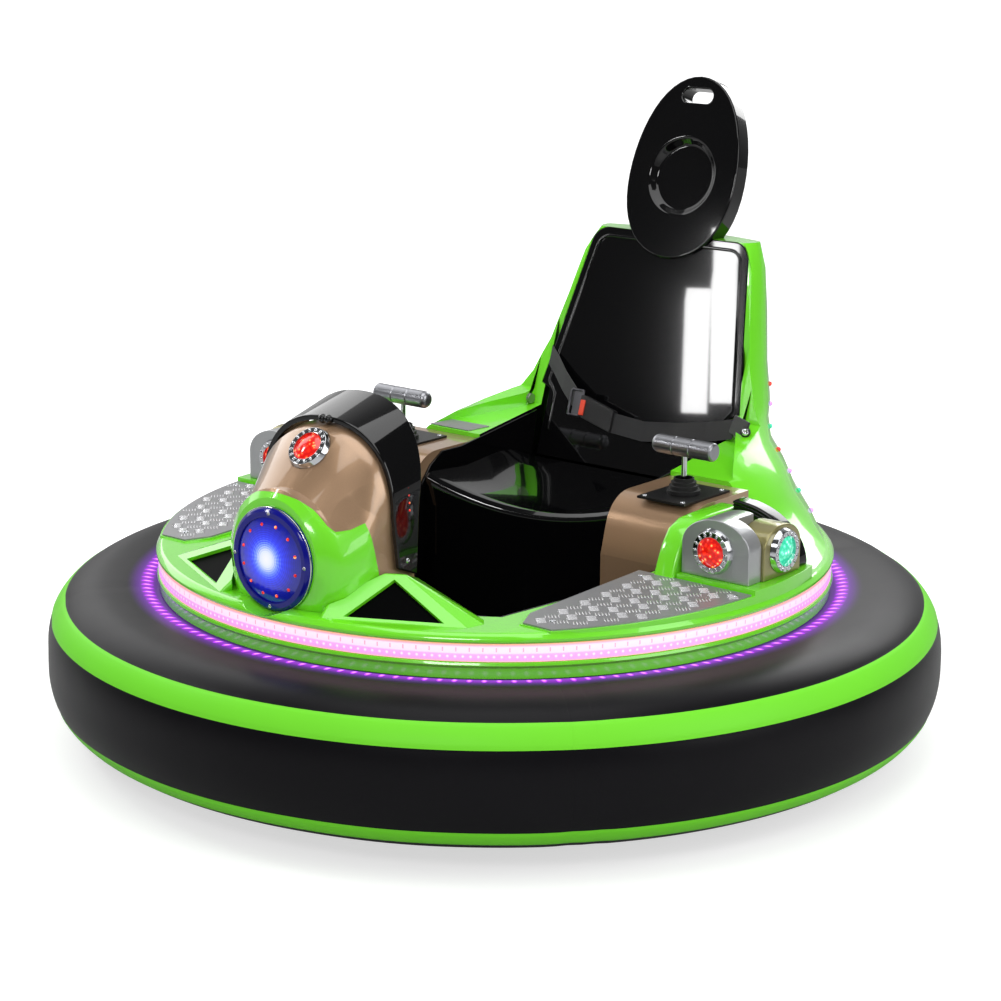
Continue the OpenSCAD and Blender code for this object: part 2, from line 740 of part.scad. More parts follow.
// Forward-facing pod: arched block with a lamp; it stands on the ledge
pod_h = 124;
pod_mid = (pod_x0 + pod_x1) / 2;
module silver_pod_form() {
    r = (pod_x1 - pod_x0) / 2;
    difference() {
        translate([pod_mid, pod_y + pod_depth, ledge_z]) rotate([90, 0, 0]) linear_extrude(pod_depth) {
            translate([-r, 0]) square([2 * r, pod_h - r + 24]);
            translate([0, pod_h - r + 24]) scale([1, (r - 24) / r]) circle(r = r, $fn = 64);
        }
        red_place() translate([0, 0, -20]) cylinder(h = 60, r = bezel_r - 8);
        translate([olive_x0 - seat_gap, pod_y + 46 - seat_gap, ledge_z - 1]) cube([big, big, big]);
    }
}
lamp_up = 58;
olive_x0 = 640;
olive_x1 = 706;
olive_y0 = pod_y + 46;
olive_y1 = arch_y - 4;
module red_place() { translate([pod_mid - 4, pod_y, ledge_z + lamp_up]) rotate([90, 0, 0]) children(); }
module green_place() {
    translate([olive_x1, (olive_y0 + olive_y1) / 2, ledge_z + lamp_up - 4]) rotate([90, 0, 90]) children();
}
module silver_pods() { color("silver") both_sides() silver_pod_form(); }
// Outward-facing pod: its arch runs across the car
module olive_pod_form() {
    r = (olive_y1 - olive_y0) / 2;
    difference() {
        translate([olive_x0, (olive_y0 + olive_y1) / 2, ledge_z])
            rotate([90, 0, 90]) linear_extrude(olive_x1 - olive_x0) {
            translate([-r, 0]) square([2 * r, 62]);
            translate([0, 62]) scale([1, 0.7]) circle(r = r, $fn = 64);
        }
        green_place() translate([0, 0, -30]) cylinder(h = 60, r = bezel_r - 8);
    }
}
module olive_pods() { color("darkkhaki") both_sides() olive_pod_form(); }
module pod_arches() {
    color(gloss_black) both_sides() difference() {
        arch_prism(arch_y, arch_y + arch_t - seat_gap, -seat_gap);
        arch_prism(arch_y - 1, arch_y + arch_t - 12, -arch_wall);
        translate([0, 0, ledge_z - big]) cube([big, big, big]);
        translate([0, 0, ledge_z - 1]) cube([strip_x + 2 * seat_gap, big, big]);
    }
}
module pod_bezels() { color("silver") both_sides() { red_place() bezel(); green_place() bezel(); } }
module pod_red_lenses() { color("red") both_sides() red_place() lens(); }
module pod_green_lenses() { color("aquamarine") both_sides() green_place() lens(); }

tread_t = 3;
tread_edge = 5;
module tread_plates() {
    color("lightgray") both_sides() tread_frame() linear_extrude(tread_t) tread_plan(tread_edge);
}

// Lap belt webbing, each strap a run of points with the belt's width set across them
belt_w = 46;
belt_t = 2.4;
belt_mid_z = 609;
function belt_lie_y(z) = back_plane_y(z) - (belt_t / 2 + seat_gap) / cos(back_tilt);
function strap_section(p, lean) = let(a = [0, sin(lean), cos(lean)] * belt_w / 2,
    b = [0, -cos(lean), sin(lean)] * belt_t / 2)
    [p + a + b, p + a - b, p - a - b, p - a + b];
module strap(points, lean) { loft([for (p = points) strap_section(p, lean)]); }
anchor_h = 9;
anchor_r = 12;
anchor_y = 491;
buckle_x0 = -122;
buckle_x1 = -22;
tongue_w = 26;
tongue_x = buckle_x0 - tongue_w / 2;
STRAP_RIGHT = [[-back_wide + 12, belt_lie_y(712), 712], [-240, 520, 692], [-200, 497, 664],
    [tongue_x - tongue_w / 2, 472, 634]];
STRAP_LEFT = [[buckle_x1 + seat_gap, 452, 596], [60, 456, 588], [140, 470, 594], [215, 482, 605],
    [tray_end - anchor_h - 2 * seat_gap, 484, 623]];
module belt_straps() { color("black") { strap(STRAP_RIGHT, back_tilt); strap(STRAP_LEFT, back_tilt); } }
module belt_tongue() {
    color("gray") translate([tongue_x, 466, belt_mid_z + 18]) rotate([-back_tilt, 0, 0])
        cube([tongue_w - 2 * seat_gap, 5, belt_w + 16], center = true);
}
module belt_buckle() {
    color("black") hull() for (p = [[buckle_x0 + 4, 463, belt_mid_z + 12],
        [buckle_x1 - 4, 455, belt_mid_z - 11]])
        translate(p) rotate([-back_tilt, 0, 0]) cube([8, 20, belt_w + 4], center = true);
}
module belt_anchors() {
    color("silver") both_sides() translate([tray_end - seat_gap - anchor_h, anchor_y, 610])
        rotate([0, 90, 0]) cylinder(h = anchor_h, r = anchor_r);
}

plate_z = floor_z - plate_t - seat_gap;
plate_r = skirt_inner_r;
CASTORS = [["front", -450], ["rear", 500]];
swivel_r = 10;
castor_r = castor_d / 2;
module chassis_plate() {
    color(steel) difference() {
        union() {
            translate([0, 0, plate_z]) cylinder(h = plate_t, r = plate_r - seat_gap, $fn = 180);
            for (c = CASTORS) translate([0, c[1], plate_z - 14]) cylinder(h = 14, r = 32);
        }
        both_sides() translate([drive_x - drive_w / 2 - 12, drive_y - drive_d / 2 - 14, plate_z - 1])
            cube([drive_w + 24, drive_d + 28, plate_t + 2]);
        for (c = CASTORS) translate([0, c[1], plate_z - 15]) cylinder(h = plate_t + 14 + 2,
            r = swivel_r + run_fit);
    }
}
drive_z = drive_d / 2;
motor_r = plate_z - drive_z - 4;
motor_x1 = drive_x - drive_w / 2 - 14;
module drive_motors() {
    color(steel) both_sides() {
        translate([190, drive_y, drive_z]) rotate([0, 90, 0]) difference() {
            cylinder(h = motor_x1 - 190, r = motor_r);
            translate([0, 0, motor_x1 - 190 - 40]) cylinder(h = 41, r = axle_r + run_fit);
        }
        translate([motor_x1 - 60, drive_y - 40, drive_z + motor_r - 8])
            cube([40, 80, plate_z - drive_z - motor_r + 8]);
    }
}
module wheel_form(d, w, hub_w) {
    r = d / 2;
    rotate([0, 90, 0]) rotate_extrude($fn = 72) polygon(concat(
        [[0, -hub_w / 2], [r * 0.35, -hub_w / 2], [r * 0.4, -w / 2 + 8], [r - 18, -w / 2 + 8],
            [r - 14, -w / 2]],
        arc([r - 8, -w / 2 + 8], 8, 270, 360, 4), arc([r - 8, w / 2 - 8], 8, 0, 90, 4),
        [[r - 14, w / 2], [r - 18, w / 2 - 8], [r * 0.4, w / 2 - 8], [r * 0.35, hub_w / 2], [0, hub_w / 2]]));
}
module drive_wheel_form() {
    color("dimgray") translate([drive_x, drive_y, drive_z]) {
        wheel_form(drive_d, drive_w, drive_w + 10);
        translate([-drive_w / 2 - 14 - 30, 0, 0]) rotate([0, 90, 0]) cylinder(h = drive_w + 14, r = axle_r);
    }
}
module drive_wheel_left() { drive_wheel_form(); }
module drive_wheel_right() { mirror([1, 0, 0]) drive_wheel_form(); }

fork_t = 5;
fork_top = plate_z - 14 - seat_gap;
castor_axle_r = 5;
module castor_fork(y) {
    color("silver") translate([0, y, 0]) difference() {
        union() {
            translate([0, 0, fork_top - fork_t]) cylinder(h = fork_t, r = 30);
            cylinder_up();
            for (s = [-1, 1]) translate([s * (castor_w / 2 + 6 + fork_t / 2), 0, 0]) rotate([90, 0, 90])
                linear_extrude(fork_t, center = true)
                    polygon([[-26, fork_top - fork_t], [26, fork_top - fork_t], [trail + 10, castor_r + 4],
                        [trail + 8, castor_r - 8], [trail - 8, castor_r - 8]]);
            translate([0, 0, fork_top - fork_t / 2]) cube([castor_w + 12 + 2 * fork_t, 40, fork_t],
                center = true);
        }
        translate([-40, trail, castor_r]) rotate([0, 90, 0]) cylinder(h = 80, r = castor_axle_r + run_fit);
    }
}
module cylinder_up() {
    translate([0, 0, fork_top - fork_t]) cylinder(h = fork_t + 14 + plate_t, r = swivel_r);
}
module castor_fork_front() { castor_fork(CASTORS[0][1]); }
module castor_fork_rear() { castor_fork(CASTORS[1][1]); }
module castor_wheel(y) {
    color("gray") translate([0, y + trail, castor_r]) {
        wheel_form(castor_d, castor_w, castor_w + 6);
        translate([-castor_w / 2 - 6 - fork_t - 2, 0, 0]) rotate([0, 90, 0])
            cylinder(h = castor_w + 12 + 2 * fork_t + 4, r = castor_axle_r);
    }
}
module castor_wheel_front() { castor_wheel(CASTORS[0][1]); }
module castor_wheel_rear() { castor_wheel(CASTORS[1][1]); }

module battery() {
    color("dimgray") translate([-170, 180, floor_z + tub_t + seat_gap]) cube([340, 180, 190]);
}

inflatable_ring();
ring_stripes();
ring_seat();
body_rim();
led_strip();
tub();
seat_bench();
seat_back();
seat_shell();
headrest();
front_apron();
window_panels();
nose();
cowl();
hood_band();
headlamp_housing();
headlamp_lens();
cowl_lamp_bezel();
cowl_lamp_lens();
console_left();
console_right();
lever_base_left();
lever_base_right();
boot_left();
boot_right();
lever_left();
lever_right();
grip_left();
grip_right();
silver_pods();
olive_pods();
pod_arches();
pod_bezels();
pod_red_lenses();
pod_green_lenses();
tread_plates();
belt_straps();
belt_buckle();
belt_tongue();
belt_anchors();
chassis_plate();
drive_motors();
battery();
drive_wheel_left();
drive_wheel_right();
castor_fork_front();
castor_fork_rear();
castor_wheel_front();
castor_wheel_rear();
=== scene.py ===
# %% [markdown]
# # A fairground bumper car with an inflatable ring
# The car is a round glass-fibre hull held inside a black air-filled tube. Its solids come from the
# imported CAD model, which is loaded first and never moved. This lesson dresses them: it rounds their
# edges, gives each one a finish, and adds the small pieces that the solids leave out.

# %% Load the frame
import json
import math

import bpy
from mathutils import Matrix, Vector, noise

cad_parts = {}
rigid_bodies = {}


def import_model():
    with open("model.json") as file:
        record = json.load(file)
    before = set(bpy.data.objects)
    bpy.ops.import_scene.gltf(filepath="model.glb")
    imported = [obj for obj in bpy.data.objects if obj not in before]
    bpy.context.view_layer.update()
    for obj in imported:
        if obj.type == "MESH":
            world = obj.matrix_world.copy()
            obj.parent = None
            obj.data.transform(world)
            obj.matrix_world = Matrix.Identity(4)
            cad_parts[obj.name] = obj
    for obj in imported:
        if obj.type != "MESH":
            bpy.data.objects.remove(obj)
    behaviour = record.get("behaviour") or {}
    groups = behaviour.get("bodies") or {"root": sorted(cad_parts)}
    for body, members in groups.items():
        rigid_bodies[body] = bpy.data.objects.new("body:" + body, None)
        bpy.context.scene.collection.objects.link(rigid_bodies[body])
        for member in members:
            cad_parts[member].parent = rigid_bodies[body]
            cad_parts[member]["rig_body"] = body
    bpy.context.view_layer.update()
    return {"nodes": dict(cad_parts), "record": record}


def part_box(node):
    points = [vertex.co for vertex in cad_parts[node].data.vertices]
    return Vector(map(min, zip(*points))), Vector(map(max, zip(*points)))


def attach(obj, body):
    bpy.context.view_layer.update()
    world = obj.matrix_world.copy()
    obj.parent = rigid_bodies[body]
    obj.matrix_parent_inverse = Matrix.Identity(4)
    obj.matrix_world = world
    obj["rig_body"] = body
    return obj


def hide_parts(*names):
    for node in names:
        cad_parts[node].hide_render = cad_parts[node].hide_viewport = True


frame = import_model()
slot_of = {row["node"]: row["material_slot"] for row in frame["record"]["subparts"]}
mm = 0.001
print("nodes loaded:", len(frame["nodes"]))

# %% [markdown]
# ## Camera
# The picture was taken from the car's left front with a long lens, so the ring looks almost as an
# ellipse. Place, direction and roll were measured from the ring's outline and fixed points on the rim.

# %% Camera
picture_width = 1001
focal_pixels = 2600.0
camera_place = Vector((3.48687, -4.24498, 1.90818))
camera_look = Vector((-0.613425, 0.749858, -0.247837)).normalized()
camera_roll = 0.0069

bpy.ops.object.select_all(action="DESELECT")
bpy.ops.object.camera_add(location=camera_place)
camera = bpy.context.object
level_right = camera_look.cross(Vector((0, 0, 1))).normalized()
level_up = level_right.cross(camera_look)
right = level_right * math.cos(camera_roll) + level_up * math.sin(camera_roll)
up = level_up * math.cos(camera_roll) - level_right * math.sin(camera_roll)
turn = Matrix((right, up, -camera_look)).transposed()
camera.matrix_world = Matrix.Translation(camera_place) @ turn.to_4x4()
camera.data.sensor_width = 36.0
camera.data.lens = 36.0 * focal_pixels / picture_width
camera.data.clip_end = 200.0
bpy.context.scene.camera = camera
print("lens", round(camera.data.lens, 2), "mm")

# %% [markdown]
# ## Node helpers
# Most finishes here are sums over a few node values, such as a distance from a lamp's middle. Small
# helpers keep those sums readable: each adds one kind of node, links it and returns its output.

# %% Node helpers
def colour(red, green, blue):
    """A colour as a paint chart gives it, 0 to 255, turned into the linear values that shaders use."""
    parts = []
    for value in (red / 255, green / 255, blue / 255):
        parts.append(value / 12.92 if value <= 0.04045 else ((value + 0.055) / 1.055) ** 2.4)
    return (*parts, 1.0)


def calc(tree, operation, *values):
    node = tree.nodes.new("ShaderNodeMath")
    node.operation = operation
    for place, value in enumerate(values):
        if isinstance(value, (int, float)):
            node.inputs[place].default_value = value
        else:
            tree.links.new(value, node.inputs[place])
    return node.outputs[0]


def product(tree, first, *others):
    for other in others:
        first = calc(tree, "MULTIPLY", first, other)
    return first


def distance(tree, across, along):
    """How far a point is from the middle, from its two offsets."""
    squares = calc(tree, "ADD", product(tree, across, across), product(tree, along, along))
    return calc(tree, "SQRT", squares)


def ramp(tree, factor, stops):
    node = tree.nodes.new("ShaderNodeValToRGB")
    elements = node.color_ramp.elements
    while len(elements) < len(stops):
        elements.new(0.5)
    for element, (place, value) in zip(elements, stops):
        element.position = place
        element.color = value
    tree.links.new(factor, node.inputs["Fac"])
    return node.outputs["Color"]


def smooth_range(tree, value, start, end, low=0.0, high=1.0):
    """Goes smoothly from low to high while the value goes from start to end."""
    node = tree.nodes.new("ShaderNodeMapRange")
    node.interpolation_type = "SMOOTHSTEP"
    for name, number in (("From Min", start), ("From Max", end), ("To Min", low), ("To Max", high)):
        node.inputs[name].default_value = number
    tree.links.new(value, node.inputs["Value"])
    return node.outputs["Result"]


def mixed(tree, factor, first, second, blend="MIX"):
    """Two colours in one. Each may be a fixed colour or another node's output."""
    node = tree.nodes.new("ShaderNodeMix")
    node.data_type = "RGBA"
    node.blend_type = blend
    for place, value in ((0, factor), (6, first), (7, second)):
        if isinstance(value, (float, tuple)):
            node.inputs[place].default_value = value
        else:
            tree.links.new(value, node.inputs[place])
    return node.outputs[2]


def noise_value(tree, place, scale, detail):
    node = tree.nodes.new("ShaderNodeTexNoise")
    node.inputs["Scale"].default_value = scale
    node.inputs["Detail"].default_value = detail
    tree.links.new(place, node.inputs["Vector"])
    return node.outputs["Fac"]


def apart(tree, place):
    node = tree.nodes.new("ShaderNodeSeparateXYZ")
    tree.links.new(place, node.inputs[0])
    return node.outputs


# %% [markdown]
# ## Handling marks, shared by every hard finish
# Nothing at a fairground is spotless. One node group makes the slow waves that moulded shells have,
# a fine grain and a thin film of dust, so all finishes age alike and each sets its own amounts.

# %% Group for waves, grain and dust
def handling_marks():
    group = bpy.data.node_groups.new("Waves, grain and dust", "ShaderNodeTree")
    group.interface.new_socket("Place", in_out="INPUT", socket_type="NodeSocketVector")
    for name in ("Paint", "Film"):
        group.interface.new_socket(name, in_out="INPUT", socket_type="NodeSocketColor")
    for name in ("Amount", "Gloss loss", "Wave scale", "Grain scale", "Grain share"):
        group.interface.new_socket(name, in_out="INPUT", socket_type="NodeSocketFloat")
    group.interface.new_socket("Paint", in_out="OUTPUT", socket_type="NodeSocketColor")
    for name in ("Roughness", "Height"):
        group.interface.new_socket(name, in_out="OUTPUT", socket_type="NodeSocketFloat")
    given = group.nodes.new("NodeGroupInput").outputs
    result = group.nodes.new("NodeGroupOutput").inputs

    waves = noise_value(group, given["Place"], 1.0, 1.0)
    group.links.new(given["Wave scale"], waves.node.inputs["Scale"])
    grain = noise_value(group, given["Place"], 1.0, 3.0)
    group.links.new(given["Grain scale"], grain.node.inputs["Scale"])
    patches = noise_value(group, given["Place"], 5.0, 6.0)
    dusty = calc(group, "SMOOTH_MAX", calc(group, "SUBTRACT", patches, 0.48), 0.0, 0.1)
    film = product(group, dusty, 2.0, given["Amount"])
    group.links.new(mixed(group, film, given["Paint"], given["Film"]), result["Paint"])
    group.links.new(calc(group, "MULTIPLY_ADD", film, 0.6, given["Gloss loss"]), result["Roughness"])
    fine = product(group, grain, given["Grain share"])
    group.links.new(calc(group, "ADD", waves, fine), result["Height"])
    return group


marks = handling_marks()


def start_finish(name, paint, roughness, metallic=0.0, coat=0.0, dust=0.12, wave=3.0, grain=400.0,
                 share=0.05, height=0.6 * mm, film=(150, 145, 138), mirror=0.5):
    """A material with its paint, gloss and marks in place. Returns it with its tree, shader and place."""
    material = bpy.data.materials.new(name)
    material.use_nodes = True
    tree = material.node_tree
    shader = tree.nodes["Principled BSDF"]
    shader.inputs["Metallic"].default_value = metallic
    shader.inputs["Coat Weight"].default_value = coat
    shader.inputs["Coat Roughness"].default_value = 0.03
    shader.inputs["Specular IOR Level"].default_value = mirror
    place = tree.nodes.new("ShaderNodeTexCoord").outputs["Object"]
    wear = tree.nodes.new("ShaderNodeGroup")
    wear.node_tree = marks
    wear.inputs["Paint"].default_value = colour(*paint)
    wear.inputs["Film"].default_value = colour(*film)
    wear.inputs["Amount"].default_value = dust
    wear.inputs["Gloss loss"].default_value = roughness
    wear.inputs["Wave scale"].default_value = wave
    wear.inputs["Grain scale"].default_value = grain
    wear.inputs["Grain share"].default_value = share
    bump = tree.nodes.new("ShaderNodeBump")
    bump.inputs["Distance"].default_value = height
    bump.inputs["Strength"].default_value = 0.6
    tree.links.new(place, wear.inputs["Place"])
    tree.links.new(wear.outputs["Paint"], shader.inputs["Base Color"])
    tree.links.new(wear.outputs["Roughness"], shader.inputs["Roughness"])
    tree.links.new(wear.outputs["Height"], bump.inputs["Height"])
    tree.links.new(bump.outputs["Normal"], shader.inputs["Normal"])
    return material, tree, shader, place


def bump_height(shader):
    """The height input of a finish's bump node, and the value that it gets so far."""
    height = shader.inputs["Normal"].links[0].from_node.inputs["Height"]
    return height, height.links[0].from_socket


# %% [markdown]
# ## Plain finishes
# A gel-coated shell is colour under a clear hard layer, so those finishes use the shader's coat.
# Bare and plated metals are metallic, and rubber and nylon are rough. One row of a table per finish
# keeps the amounts side by side where they are easy to compare.

# %% Finishes without a pattern
gloss = dict(coat=1.0, dust=0.03, height=0.25 * mm, share=0.02)
deep_gloss = dict(coat=1.0, dust=0.004, height=0.3 * mm, share=0.01, mirror=0.08)
PLAIN_FINISHES = {
    "body_green": ((108, 214, 30), 0.22, gloss),
    "gloss_black": ((5, 5, 6), 0.12, deep_gloss),
    "window_black": ((2, 2, 3), 0.5, dict(dust=0.004, mirror=0.02)),
    "silver_grey": ((176, 178, 180), 0.32, dict(metallic=0.7, coat=0.8, grain=900.0)),
    "olive_gold": ((150, 143, 92), 0.32, dict(metallic=0.7, coat=0.8, grain=900.0)),
    "lamp_navy": ((10, 14, 120), 0.2, dict(coat=0.7, dust=0.004, mirror=0.1)),
    "chrome": ((214, 216, 220), 0.1, dict(metallic=1.0, dust=0.06, height=0.1 * mm)),
    "tread_aluminium": ((150, 150, 152), 0.38, dict(metallic=0.6, dust=0.2, grain=260.0, share=0.3)),
    "tread_bright": ((218, 218, 220), 0.24, dict(metallic=0.8, dust=0.05)),
    "grip_metal": ((172, 173, 178), 0.34, dict(metallic=1.0, grain=700.0, share=0.2)),
    "boot_rubber": ((9, 9, 10), 0.55, dict(grain=700.0, share=0.4)),
    "plate_black": ((9, 9, 10), 0.36, dict(grain=900.0, share=0.3)),
    "belt_plastic": ((11, 11, 12), 0.45, dict(grain=900.0, share=0.4)),
    "belt_steel": ((92, 92, 96), 0.36, dict(metallic=1.0, grain=500.0)),
    "chassis_steel": ((52, 54, 58), 0.5, dict(metallic=0.4, dust=0.3, grain=300.0, share=0.3)),
    "zinc_steel": ((168, 168, 164), 0.35, dict(metallic=1.0, dust=0.2)),
    "wheel_tyre": ((30, 30, 31), 0.75, dict(dust=0.4, grain=500.0, share=0.5)),
    "battery_grey": ((70, 72, 76), 0.55, dict(dust=0.2)),
    "press_red": ((214, 62, 30), 0.4, dict(grain=700.0)),
}
finish = {}
for name, (paint, roughness, extra) in PLAIN_FINISHES.items():
    finish[name] = start_finish(name, paint, roughness, **extra)[0]
print("plain finishes:", len(PLAIN_FINISHES))

# %% [markdown]
# ## Champagne metallic
# The cowl and the consoles are sprayed with a metallic paint under clear coat. Its flakes are too
# small to see one by one, so tiny cells only vary the colour a little.

# %% Metallic paint
material, tree, shader, place = start_finish("bronze", (178, 145, 114), 0.3, metallic=0.5, coat=1.0,
                                             dust=0.03)
flakes = tree.nodes.new("ShaderNodeTexVoronoi")
flakes.inputs["Scale"].default_value = 900.0
tree.links.new(place, flakes.inputs["Vector"])
flake_stops = [(0.0, colour(255, 250, 240)), (0.6, colour(170, 160, 150))]
flake_shade = ramp(tree, flakes.outputs["Distance"], flake_stops)
sprayed = shader.inputs["Base Color"].links[0].from_socket
tree.links.new(mixed(tree, 0.25, sprayed, flake_shade, "MULTIPLY"), shader.inputs["Base Color"])

# %% [markdown]
# ## Crease of the cowl
# On each flank of the cowl a shallow scoop starts at a curved crease above the scalloped edge. It is
# too shallow to matter for the solid, so it goes into the bump: a height that falls on one side of a
# bent line and fades out towards both ends.

# %% Crease in the bump
crease_foot_y = -0.633
crease_foot_z = 0.6245
crease_run_y = 0.665
crease_run_z = 0.747
crease_bend = 3.0
crease_width = 14 * mm
crease_middle = 0.03
crease_reach = 75 * mm
scoop_depth = -9.0

x, y, z = apart(tree, place)
from_y = calc(tree, "SUBTRACT", y, crease_foot_y)
from_z = calc(tree, "SUBTRACT", z, crease_foot_z)
beside = calc(tree, "SUBTRACT", product(tree, from_y, crease_run_z), product(tree, from_z, crease_run_y))
along = calc(tree, "ADD", product(tree, from_y, crease_run_y), product(tree, from_z, crease_run_z))
past = calc(tree, "SUBTRACT", beside, product(tree, along, along, crease_bend))
past = calc(tree, "MAXIMUM", calc(tree, "DIVIDE", past, crease_width), 0.0)
scoop = calc(tree, "SMOOTH_MIN", past, 1.0, 0.6)
on_flank = product(tree, calc(tree, "GREATER_THAN", along, -0.02), calc(tree, "LESS_THAN", y, -0.45))
from_middle = calc(tree, "ABSOLUTE", calc(tree, "SUBTRACT", along, crease_middle))
faded = calc(tree, "MINIMUM", calc(tree, "DIVIDE", from_middle, crease_reach), 1.0)
fade = calc(tree, "SUBTRACT", 1.0, faded)
height, surface = bump_height(shader)
dent = product(tree, scoop, fade, on_flank, scoop_depth)
tree.links.new(calc(tree, "ADD", surface, dent), height)
finish["bronze"] = material

# %% [markdown]
# ## Round-the-hull coordinates
# The light band and the tube both run round the car, so their patterns need an angle and a radius
# instead of X and Y. A group works them out once, and the band and the tube share it.

# %% Group for angle, radius and height
def round_hull():
    group = bpy.data.node_groups.new("Round the hull", "ShaderNodeTree")
    group.interface.new_socket("Place", in_out="INPUT", socket_type="NodeSocketVector")
    for name in ("Angle", "Radius", "Height"):
        group.interface.new_socket(name, in_out="OUTPUT", socket_type="NodeSocketFloat")
    given = group.nodes.new("NodeGroupInput").outputs["Place"]
    result = group.nodes.new("NodeGroupOutput").inputs
    x, y, z = apart(group, given)
    group.links.new(calc(group, "ARCTAN2", x, product(group, y, -1.0)), result["Angle"])
    group.links.new(distance(group, x, y), result["Radius"])
    group.links.new(z, result["Height"])
    return group


hull_round = round_hull()


def hull_place(tree, place):
    node = tree.nodes.new("ShaderNodeGroup")
    node.node_tree = hull_round
    tree.links.new(place, node.inputs["Place"])
    return node.outputs


def spot(tree, across, along, size):
    """A soft round mask, 1 in its middle and 0 past its size."""
    return smooth_range(tree, distance(tree, across, along), size, 0.0)


def repeat(tree, value, pitch):
    """Distance from the middle of the nearest repeat, in metres."""
    share = calc(tree, "FRACT", calc(tree, "DIVIDE", value, pitch))
    return product(tree, calc(tree, "SUBTRACT", share, 0.5), pitch)


# %% [markdown]
# ## Light band
# Two rows of diodes sit behind a milky strip: the upper row glows white to pink with thin dark
# ticks, and the lower one violet with a white dot at each diode. The strip lights itself, so the
# pattern goes to the emission colour.

# %% Finish of the light band
band_low, band_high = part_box("led_strip")
band_radius = band_high.x
diode_pitch = 15 * mm
diode_row = 0.29
tick_pitch = 26 * mm
tick_foot = 0.56
tick_top = 0.8

material, tree, shader, place = start_finish("led_pink", (235, 190, 200), 0.3, coat=0.5, dust=0.03)
round_place = hull_place(tree, place)
run = product(tree, round_place["Angle"], band_radius)
band_height = band_high.z - band_low.z
rise = calc(tree, "DIVIDE", calc(tree, "SUBTRACT", round_place["Height"], band_low.z), band_height)
rows = ramp(tree, rise, [
    (0.0, colour(255, 190, 90)),
    (0.07, colour(236, 120, 190)),
    (0.16, colour(196, 104, 222)),
    (0.42, colour(204, 118, 226)),
    (0.5, colour(250, 214, 242)),
    (0.82, colour(252, 222, 240)),
    (0.93, colour(246, 120, 140)),
    (1.0, colour(255, 170, 80)),
])
from_row = product(tree, calc(tree, "SUBTRACT", rise, diode_row), band_height)
dots = spot(tree, repeat(tree, run, diode_pitch), from_row, 4.2 * mm)
ticks = calc(tree, "LESS_THAN", calc(tree, "ABSOLUTE", repeat(tree, run, tick_pitch)), 1.5 * mm)
past_foot = calc(tree, "GREATER_THAN", rise, tick_foot)
in_upper = product(tree, past_foot, calc(tree, "LESS_THAN", rise, tick_top))
lit = mixed(tree, dots, rows, (1.0, 0.98, 1.0, 1.0))
ticked = mixed(tree, product(tree, ticks, in_upper, 0.75), lit, colour(214, 60, 96))
tree.links.new(ticked, shader.inputs["Emission Color"])
shader.inputs["Emission Strength"].default_value = 0.75
finish["led_pink"] = material

# %% [markdown]
# ## Tube vinyl
# The tube is welded from satin black vinyl. Welds cross it at a few places, and diodes under the rim
# throw a row of violet spots on its upper side. Welds are a raised line in the bump, and the spots
# are a faint emission, because a real light this small would only bring noise.

# %% Finish of the tube
WELD_ANGLES = (-41.0, 48.2, 51.0, 145.0, -132.0)
glow_count = 166
glow_radius = 0.757


def tube_finish(name, paint, roughness, glow):
    material, tree, shader, place = start_finish(name, paint, roughness, dust=0.06, wave=7.0, grain=650.0,
                                                 share=0.12, height=1.6 * mm, film=(58, 55, 60), mirror=0.15)
    round_place = hull_place(tree, place)
    weld = None
    for angle in WELD_ANGLES:
        away = calc(tree, "ABSOLUTE", calc(tree, "SUBTRACT", round_place["Angle"], math.radians(angle)))
        line = calc(tree, "LESS_THAN", product(tree, away, round_place["Radius"]), 2.0 * mm)
        weld = line if weld is None else calc(tree, "MAXIMUM", weld, line)
    height, surface = bump_height(shader)
    tree.links.new(calc(tree, "SUBTRACT", surface, product(tree, weld, 1.2)), height)
    if glow:
        along = product(tree, repeat(tree, round_place["Angle"], 2 * math.pi / glow_count), glow_radius)
        out = calc(tree, "SUBTRACT", round_place["Radius"], glow_radius)
        spots = spot(tree, along, product(tree, out, 0.5), 12 * mm)
        haze = product(tree, spot(tree, 0.0, out, 46 * mm), 0.42)
        on_top = calc(tree, "GREATER_THAN", round_place["Height"], 0.3)
        light = product(tree, calc(tree, "MAXIMUM", spots, haze), on_top)
        stops = [(0.0, (0, 0, 0, 1)), (0.3, colour(70, 16, 110)), (0.65, colour(168, 40, 222)),
                 (1.0, colour(232, 140, 255))]
        tree.links.new(ramp(tree, light, stops), shader.inputs["Emission Color"])
        shader.inputs["Emission Strength"].default_value = 1.9
    return material


finish["ring_black"] = tube_finish("ring_black", (10, 9, 13), 0.38, True)
finish["ring_green"] = tube_finish("ring_green", (110, 210, 44), 0.42, False)

# %% [markdown]
# ## Small lenses
# A small lamp's lens is a moulded disc with cells in it and diodes behind. The cells are a Voronoi
# pattern whose distance picks the colour: hot in each cell's middle, deep between the cells.

# %% Finishes of the small lenses
def small_lens(name, deep, glow, hot, cell_scale=105.0):
    material, tree, shader, place = start_finish(name, deep, 0.18, coat=1.0, dust=0.02)
    cells = tree.nodes.new("ShaderNodeTexVoronoi")
    cells.inputs["Scale"].default_value = cell_scale
    tree.links.new(place, cells.inputs["Vector"])
    stops = [(0.0, colour(*hot)), (0.15, colour(*hot)), (0.3, colour(*glow)), (0.6, colour(*deep)),
             (0.9, colour(*deep))]
    tree.links.new(ramp(tree, cells.outputs["Distance"], stops), shader.inputs["Emission Color"])
    shader.inputs["Emission Strength"].default_value = 1.1
    return material


finish["lens_red"] = small_lens("lens_red", (168, 10, 6), (248, 48, 20), (255, 206, 120))
finish["lens_green"] = small_lens("lens_green", (40, 168, 130), (110, 236, 196), (240, 255, 250))

